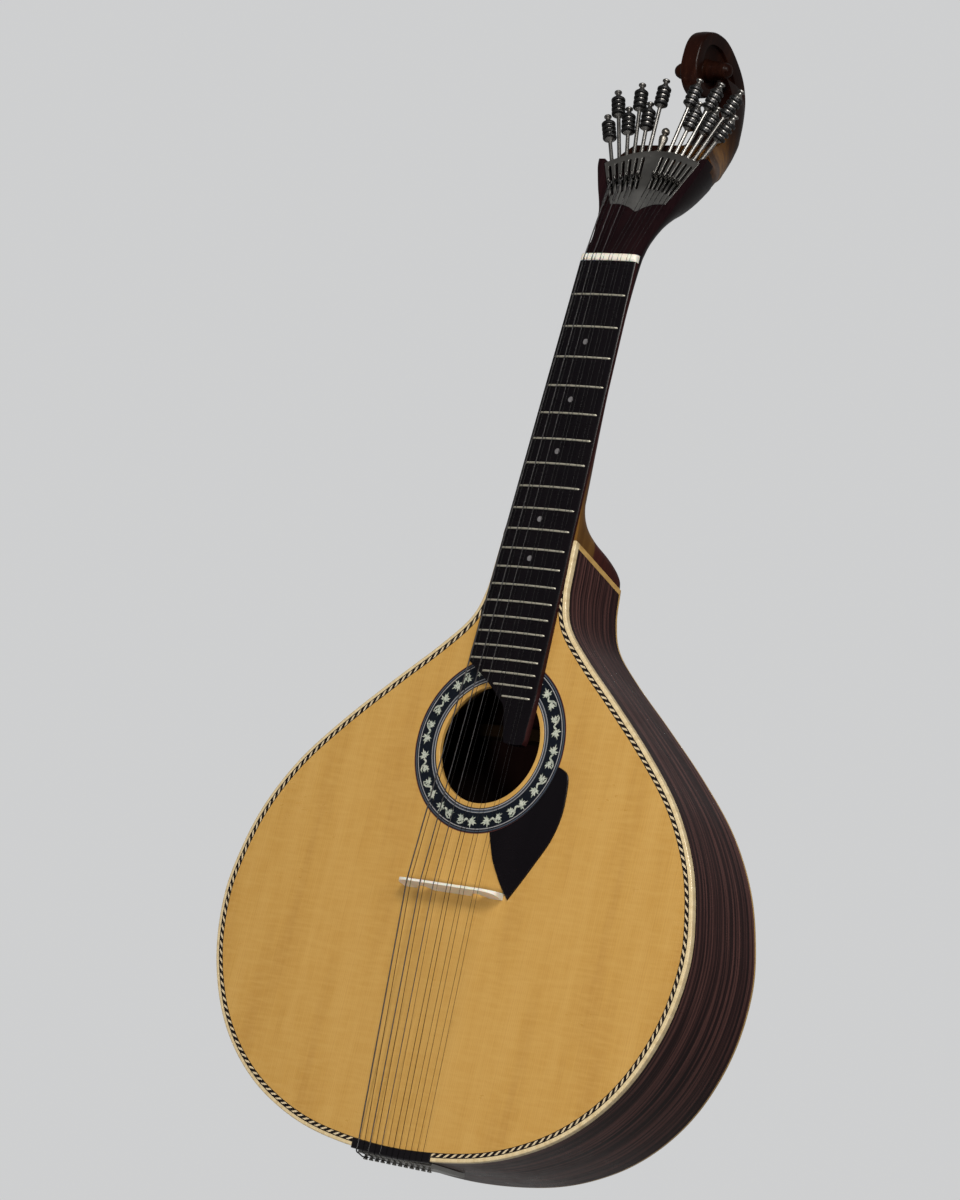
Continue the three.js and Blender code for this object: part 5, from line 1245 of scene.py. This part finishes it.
# Saddle: a black ebony block let into the lower edge of the body, rounded where the strings turn over it
# on their way from the tailpiece to the bridge, and polished brighter than the finger plate.
SADDLE_HALF_WIDTH = 33
SADDLE_REACH = 1.1


def edge_between(inset, limit):
    path = [p for p in body_edge(inset, 40) if abs(p.x) <= limit and p.y < 60]
    for end in (0, -1):
        path[end] = Vector((math.copysign(limit, path[end].x), path[end].y))
    return path


saddle_ring = edge_between(-SADDLE_REACH, SADDLE_HALF_WIDTH) + edge_between(5.9, SADDLE_HALF_WIDTH)[::-1]
saddle = plate("saddle_ebony", [saddle_ring], -SADDLE_REACH, 2.0, place, 0.9, 40)
saddle.data.materials.append(copy_of(ebony, "ebony_saddle_gloss", Coat_Weight=1.0, Coat_Roughness=0.2))
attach(saddle, "instrument")
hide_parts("saddle")

# Tailpiece: a bright metal plate screwed flat on the tail end, with twelve small headed pins in a row
# that hold the looped ends of the strings.
TAIL_PLATE_HALF = 31
PIN_DEPTH = 10
PIN_ROW_HALF = 27
plated, tree, shader = new_material("nickel_plate", Metallic=1.0)
at = object_place(tree)
plated_tone = mix_colour(tree, noise(tree, at, 45.0, 3.0, 0.6), (0.50, 0.49, 0.47), (0.66, 0.65, 0.62))
dress(tree, shader, plated_tone, (0.26, 0.42), (noise(tree, at, (3200.0, 3200.0, 60.0), 3.0, 0.6), 0.12, 0.00003))
tail_edge = edge_between(-0.3, TAIL_PLATE_HALF)
tail_plate, tail_ledge = (
    plate(name, [[Vector((-TAIL_PLATE_HALF, low)), Vector((TAIL_PLATE_HALF, low))] + tail_edge], front, back, place,
          0.4, 32, back_soften)
    for name, low, front, back, back_soften in (("tail_plate", -1.8, 14.0, 43.2, 0.4),
                                                ("tail_pin_ledge", -1.3, 5.2, 14.1, 0.0)))
pin_shape = bmesh.new()
pin_profile = [(1.2, -4.8), (1.55, -4.6), (1.6, -4.3), (1.55, -4.0), (1.3, -3.8), (1, -3.6), (1, -1.2)]
tail_x = [lerp(-PIN_ROW_HALF, PIN_ROW_HALF, n / 11) for n in range(12)]
for x in tail_x:
    skin(pin_shape, [[pin_shape.verts.new(place(x + p.x, p.y, z)) for p in circle(r, PIN_DEPTH, 20)]
                     for r, z in pin_profile])
pins = from_bmesh("tail_pins", pin_shape)
for piece in (tail_plate, tail_ledge, pins):
    piece.data.materials.append(plated)
    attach(piece, "instrument")
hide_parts("tailpiece")

# Tuner plate: a fan of satin metal screwed on the head, with a slot for each hook, an upper flange that
# carries the knobs' rods and a lower bar that holds their tips.
SLOT_HALF_WIDTH = 1.2
SLOT_ENDS = (81.2, 57.9)
PLATE_THICKNESS = 1.5
BAR_HALF_ANGLE = 26.5
BAR_DEPTHS = (0.75, 7.4)
ROD_START = 53.6
tuner_degrees = [5.6 + 3.88 * i for i in range(6)]
tuners = [(-t, i % 2 == 0) for i, t in reversed(list(enumerate(tuner_degrees)))]
tuners += [(t, i % 2 == 0) for i, t in enumerate(tuner_degrees)]


def satin_metal(name, dark, light):
    material, tree, shader = new_material(name, Metallic=1.0)
    at = object_place(tree)
    satin_tone = mix_colour(tree, noise(tree, at, 60.0, 4.0, 0.6), dark, light)
    below_slots = map_range(tree, split_axes(tree, at)["Z"], 0.69, 0.681, smooth=True)
    dress(tree, shader, mix_colour(tree, below_slots, satin_tone, (0.66, 0.655, 0.64)), (0.3, 0.5),
          (noise(tree, at, (90.0, 4000.0, 4000.0), 3.0, 0.6), 0.15, 0.00004))
    return material


satin = satin_metal("satin_tuner_metal", (0.30, 0.295, 0.285), (0.46, 0.45, 0.43))
# Painted highlight: the flange takes a lighter copy of the satin metal, for the bright band along its top rim.
bright_satin = satin_metal("satin_flange_painted_highlight", (0.7, 0.695, 0.68), (0.86, 0.85, 0.83))
slot_rings = []
for degrees, _ in tuners:
    c, s = math.cos(math.radians(degrees)), math.sin(math.radians(degrees))
    ring = [(way * SLOT_HALF_WIDTH * math.cos(t), end + way * SLOT_HALF_WIDTH * math.sin(t))
            for way, end in zip((1, -1), SLOT_ENDS) for t in (math.pi * i / 8 for i in range(9))]
    slot_rings.append([Vector((x * c + y * s, FAN_CENTRE - x * s + y * c)) for x, y in ring])
fan_plate = plate("tuner_fan_plate", [plate_outline(0)] + slot_rings, 0, PLATE_THICKNESS, head_place, 0.22)
flange_ring, bar_ring = (fan_arc(outer, BAR_HALF_ANGLE) + fan_arc(inner, BAR_HALF_ANGLE)[::-1]
                         for outer, inner in ((FAN_TOP_RADIUS, 84.3), (55.6, ROD_START)))
flange = plate("tuner_flange", [flange_ring], *BAR_DEPTHS, head_place, 0.2, 32, 0.25)
lower_bar = plate("tuner_lower_bar", [bar_ring], *BAR_DEPTHS, head_place, 0.1)
for piece in (fan_plate, flange, lower_bar):
    piece.data.materials.append(bright_satin if piece == flange else satin)
    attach(piece, "instrument")
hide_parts("tuner_plate")

# Finial: a small turned brass post that stands on the middle of the flange. Above a low foot it has a slim
# waist, a ball and a small knob.
FINIAL_RADIUS = 3.2
FINIAL_HEIGHT = 20
ROD_DEPTH = 4
brass, tree, shader = new_material("brass_aged", Metallic=1.0)
tarnish = noise(tree, object_place(tree), 180.0, 4.0, 0.6)
brass_tone = ramp(tree, tarnish, [(0.3, (0.15, 0.138, 0.12)), (0.55, (0.31, 0.29, 0.255)), (0.8, (0.42, 0.4, 0.36))])
dress(tree, shader, brass_tone, (0.34, 0.5), (tarnish, 0.1, 0.0001))
finial_shares = [(1, 0), (1, 0.05), (0.62, 0.08), (0.54, 0.16), (0.66, 0.3), (0.88, 0.46), (1, 0.58), (0.92, 0.67),
                 (0.56, 0.72), (0.54, 0.75), (0.82, 0.79), (0.92, 0.86), (0.78, 0.94), (0.36, 1)]
finial_path = smooth_path([(wide * FINIAL_RADIUS, up * FINIAL_HEIGHT) for wide, up in finial_shares], 4)
head_frame = Matrix.Translation(place(0, HEAD_SETBACK, NUT_HEIGHT)) @ Matrix.Rotation(-HEAD_TILT, 4, "X")
finial_profile = [(0, 0)] + [(max(p.x, 0.01), p.y) for p in finial_path] + [(0, FINIAL_HEIGHT)]
finial_foot = Matrix.Translation((0, ROD_DEPTH / 1000, (FAN_CENTRE + FAN_TOP_RADIUS) / 1000))
finial = turned_piece("finial_brass", finial_profile, 28, 40, head_frame @ finial_foot)
finial.data.materials.append(brass)
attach(finial, "instrument")
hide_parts("finial_post")

# Knobs and rods: twelve threaded steel rods that turn in the flange, each with a ribbed dark knob
# between a bright cone and a bright cap. Short and long rods take turns, so the knobs stand in two rows.
SHORT_KNOB, LONG_KNOB = 107.4, 124.9
ROD_RADIUS = 0.8
THREAD_START = 54.2
THREAD_PITCH = 0.8
KNOB_RING_PITCH = 3.75


def cloudy_metal(name, metallic, scale, dark, light, gloss):
    material, tree, shader = new_material(name, Metallic=metallic)
    dress(tree, shader, mix_colour(tree, noise(tree, object_place(tree), scale, 3.0, 0.6), dark, light), gloss)
    return material


steel = cloudy_metal("steel_polished", 1.0, 240.0, (0.25, 0.245, 0.235), (0.4, 0.39, 0.375), (0.3, 0.45))
dark_steel = cloudy_metal("knob_dark_steel", 0.85, 300.0, (0.028, 0.028, 0.03), (0.065, 0.065, 0.067), (0.28, 0.44))
# Painted shade: the thread behind the plate, seen through the slots, is painted near black for the dark hollow under
# the plate.
thread_metal_painted_shade, tree, shader = new_material("dark_thread_painted_shade", Metallic=0.6, Roughness=0.55)
dress(tree, shader, mix_colour(tree, noise(tree, object_place(tree), 500.0, 2.0), (0.008, 0.008, 0.009),
                               (0.022, 0.021, 0.021)))
thread = [(radius, THREAD_START + rise + turn * THREAD_PITCH) for turn in range(37)
          for radius, rise in ((ROD_RADIUS, 0), (0.62, THREAD_PITCH / 2))]
collar = [(ROD_RADIUS, 84.0), (ROD_RADIUS, 86.9), (1.9, 86.9), (2.1, 87.15), (2.1, 88.3), (1.9, 88.6), (1.4, 88.8)]
knob_ring = [(3.3, 0.1), (3.4, 0.55), (4.7, 0.85), (4.95, 1.25), (4.95, 2.5), (4.7, 2.9), (3.4, 3.2), (3.3, 3.65)]
knob_rings = [(radius, 0.6 + ring * KNOB_RING_PITCH + rise) for ring in range(4) for radius, rise in knob_ring]
knob_profile = [(0, 0.6), (3.3, 0.6), (3.9, 0.9)] + knob_rings + [(3.9, 15.5), (0, 15.5)]
cap_profile = [(0, 15.3), (3.6, 15.3), (3.5, 15.8), (2.2, 17.2), (1.5, 18.6), (1.45, 19.5), (2.0, 19.9), (2.6, 20.2),
               (2.7, 20.7), (2.6, 21.2), (2.0, 21.7), (1.2, 22.0), (0, 22.1)]
cone_profile = [(0, -1.2), (1.5, -1.2), (1.7, -0.9), (3.0, 0.3), (3.4, 0.65), (0, 0.65)]
patterns = {}
for start in (SHORT_KNOB, LONG_KNOB):
    rod_end = [(1.4, start + 0.2), (0, start + 0.2)]
    patterns["rod", start] = turned_piece("rod_pattern", [(0, ROD_START), (0.7, ROD_START), (ROD_RADIUS, 53.9)] + thread
                                          + collar + rod_end, 20, 28)
    for label, profile, sides in (("knob", knob_profile, 36), ("cap", cap_profile, 32), ("cone", cone_profile, 32)):
        patterns[label, start] = turned_piece(label + "_pattern", [(radius, start + rise) for radius, rise in profile],
                                              sides, 28)
for (label, _), piece in patterns.items():
    piece.data.materials.append(dark_steel if label == "knob" else steel)
    corners = piece.data.vertices
    if label == "rod":
        piece.data.materials.append(thread_metal_painted_shade)
        for polygon in piece.data.polygons:
            polygon.material_index = 1 if max(corners[v].co.z for v in polygon.vertices) < 0.0865 else 0
    if label == "knob":
        piece.data.materials.append(steel)
        for polygon in piece.data.polygons:
            polygon.material_index = 1 if max(corners[v].co.xy.length for v in polygon.vertices) < 0.00345 else 0


def ray_frame(degrees):
    return head_frame @ Matrix.Translation((0, 0, FAN_CENTRE / 1000)) @ Matrix.Rotation(math.radians(degrees), 4, "Y")


for number, (degrees, is_long) in enumerate(tuners, 1):
    start = LONG_KNOB if is_long else SHORT_KNOB
    for label in ("rod", "knob", "cap", "cone"):
        piece = bpy.data.objects.new("%s_%02d" % (label, number), patterns[label, start].data)
        bpy.context.collection.objects.link(piece)
        piece.matrix_world = ray_frame(degrees) @ Matrix.Translation((0, ROD_DEPTH / 1000, 0))
        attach(piece, "knob_body_%02d" % number)
        if label == "rod":
            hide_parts("tuner_knob_%02d" % number)
for piece in patterns.values():
    bpy.data.objects.remove(piece)

# Hooks: a small threaded block on each rod behind the plate, with a neck through the slot and an
# upturned horn in front that the string's loop hangs on.
HORN_RADIUS = 0.75
HORN_HEIGHT = 66.7


def wire(shape, path, radius, sides, run=None):
    rings = []
    normal = None
    travelled = 0.0
    for i, point in enumerate(path):
        along = (path[min(i + 1, len(path) - 1)] - path[max(i - 1, 0)]).normalized()
        if normal is None:
            normal = along.orthogonal().normalized()
        normal = (normal - along * normal.dot(along)).normalized()
        other = along.cross(normal)
        if i:
            travelled += (point - path[i - 1]).length
        r = (radius(i / (len(path) - 1)) if callable(radius) else radius) / 1000
        ring = []
        for k in range(sides):
            turn = 2 * math.pi * k / sides
            vertex = shape.verts.new(point + (normal * math.cos(turn) + other * math.sin(turn)) * r)
            if run is not None:
                vertex[run] = (k / sides, r, travelled)
            ring.append(vertex)
        rings.append(ring)
    skin(shape, rings)


def hook_block(shape, low, high, soft=0.25):
    made = bmesh.ops.create_cube(shape, size=1.0)
    for vertex in made["verts"]:
        vertex.co = Vector([lerp(low[k], high[k], vertex.co[k] + 0.5) for k in range(3)]) / 1000
    edges = list({e for v in made["verts"] for e in v.link_edges})
    bmesh.ops.bevel(shape, geom=edges, offset=soft / 1000, segments=2, affect="EDGES", profile=0.5)


hook_steel = cloudy_metal("hook_steel", 1.0, 400.0, (0.05, 0.048, 0.046), (0.12, 0.115, 0.11), (0.18, 0.36))
hook_shape = bmesh.new()
hook_block(hook_shape, (-1.6, 1.8, 65.0), (1.6, 6.2, 70.0))
hook_block(hook_shape, (-0.85, -0.9, 65.9), (0.85, 2.0, 69.1), 0.2)
horn_path = smooth_path([(0.4, HORN_HEIGHT), (-1.5, 66.75), (-2.7, 67.3), (-3.3, 68.5), (-3.45, 69.9)], 6)
wire(hook_shape, [Vector((0, p.x, p.y)) / 1000 for p in horn_path],
     lambda t: HORN_RADIUS if t < 0.9 else HORN_RADIUS - 2.5 * (t - 0.9), 14)
hook_pattern = from_bmesh("hook_pattern", hook_shape, 40)
hook_pattern.data.materials.append(hook_steel)
for number, (degrees, _) in enumerate(tuners, 1):
    piece = bpy.data.objects.new("hook_metal_%02d" % number, hook_pattern.data)
    bpy.context.collection.objects.link(piece)
    piece.matrix_world = ray_frame(degrees)
    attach(piece, "hook_body_%02d" % number)
    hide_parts("hook_%02d" % number)
bpy.data.objects.remove(hook_pattern)

# Strings: twelve steel strings in six pairs, the thicker ones wound with fine wire. Each runs from its
# pin over the saddle, the bridge and the nut to its hook, where its twisted loop end hangs on the horn.
WINDING_PITCH = 0.00022
WOUND_FROM = 0.5
TWIST_LENGTH = 0.017
TWIST_TURNS = 14
TWIST_STEPS = 112
PIN_LOOP_RADIUS = 1.3
HORN_LOOP_RADIUS = 0.95
string_materials = {}
# Painted shade: both string tones are far darker than bright steel, so that the strings show as dark lines.
for label, tone, wound in (("string_plain", (0.03, 0.03, 0.031), False), ("string_wound", (0.13, 0.128, 0.132), True)):
    material, tree, shader = new_material(label, Metallic=1.0, Roughness=0.4)
    cloud = noise(tree, object_place(tree), 120.0, 2.0)
    along = split_axes(tree, run_attribute(tree))["Z"]
    winding = math_node(tree, "SINE", math_node(tree, "MULTIPLY", along, 2 * math.pi / WINDING_PITCH))
    dress(tree, shader, mix_colour(tree, cloud, tone, tuple(v * 0.72 for v in tone)), None,
          (winding, 0.5, 0.00005) if wound else None)
    string_materials[wound] = material
for number, (degrees, _) in enumerate(tuners):
    d = STRING_DIAMETERS[number]
    r = d / 2
    tail, on_bridge, on_nut = tail_x[number], bridge_x[number], nut_x[number]
    nut_top = board_front(NUT_HEIGHT, on_nut) - NUT_RISE - r * 0.1
    bridge_top = -BRIDGE_HEIGHT - r * 0.1
    turned_over = [place(tail, PIN_DEPTH - 1 - r, -3.4), place(tail, 6.0, -2.9 - r), place(tail, 2.2, -1.75 - r)]
    for k in range(1, 6):
        turn = math.pi / 2 * k / 6
        turned_over.append(place(tail, 0.3 - (1.4 + r) * math.sin(turn), 0.2 - (1.5 + r) * math.cos(turn)))
    turned_over.append(place(tail, -1.15 - r, 1.2))
    route = turned_over + [place(lerp(tail, on_bridge, share), lerp(-1.15 - r, bridge_top, share),
                                 lerp(5.9, BRIDGE_AT - 0.6, share)) for share in (0.0, 0.25, 0.5, 0.75, 1.0)]
    route += [place(on_bridge, bridge_top, BRIDGE_AT + 0.6)]
    route += [place(lerp(on_bridge, on_nut, share), lerp(bridge_top, nut_top, share),
                    lerp(BRIDGE_AT + 0.6, NUT_HEIGHT + 2.2, share)) for share in (0.2, 0.4, 0.6, 0.8, 1.0)]
    pin_loop = [place(tail + PIN_LOOP_RADIUS * math.cos(t), PIN_DEPTH + PIN_LOOP_RADIUS * math.sin(t), -3.2) for t in
                (-math.pi / 2 + 2 * math.pi * k / 16 for k in range(17))]
    lower = bmesh.new()
    lower_run = lower.verts.layers.float_vector.new("run")
    wire(lower, route, r, 10, lower_run)
    wire(lower, pin_loop, r, 8, lower_run)
    lower_string = from_bmesh("string_%02d_long" % (number + 1), lower, 60)
    lower_string.data.materials.append(string_materials[d > WOUND_FROM])
    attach(lower_string, "instrument")
    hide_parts("string_%02d" % (number + 1))

    here = ray_frame(degrees)
    hook_low = here @ Vector((0, -0.0015 - r / 1000, (HORN_HEIGHT - HORN_RADIUS - r) / 1000))
    nut_high = place(on_nut, nut_top + 0.15, NUT_HEIGHT + 2.1)
    nut_back = place(on_nut, nut_top + 0.5, NUT_HEIGHT + 4.6)
    along = (hook_low - nut_back).normalized()
    side = along.cross(here.to_3x3() @ Vector((0, -1, 0))).normalized()
    front = side.cross(along)
    wraps = []
    for k in range(TWIST_STEPS + 1):
        share = k / TWIST_STEPS
        turn = 2 * math.pi * TWIST_TURNS * share
        centre = hook_low - along * (0.0015 + TWIST_LENGTH * share)
        wraps.append(centre + (side * math.cos(turn) + front * math.sin(turn)) * (r + max(r, 0.18) * 0.9) / 1000)
    horn_middle = here @ Vector((0, -0.0017, HORN_HEIGHT / 1000))
    reach = HORN_LOOP_RADIUS + r
    horn_loop = [horn_middle + here.to_3x3() @ (Vector((math.cos(t) * reach, -0.1, math.sin(t) * reach)) / 1000)
                 for t in (-math.pi / 2 + 2 * math.pi * k / 18 for k in range(19))]
    upper = bmesh.new()
    upper_run = upper.verts.layers.float_vector.new("run")
    wire(upper, [nut_high, nut_back] + [nut_back.lerp(hook_low, k / 24) for k in range(1, 25)], r, 10, upper_run)
    wire(upper, wraps, max(r * 0.8, 0.17), 6, upper_run)
    wire(upper, horn_loop, r, 8, upper_run)
    upper_string = from_bmesh("string_%02d_end" % (number + 1), upper, 60)
    upper_string.data.materials.append(string_materials[d > WOUND_FROM])
    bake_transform(upper_string)
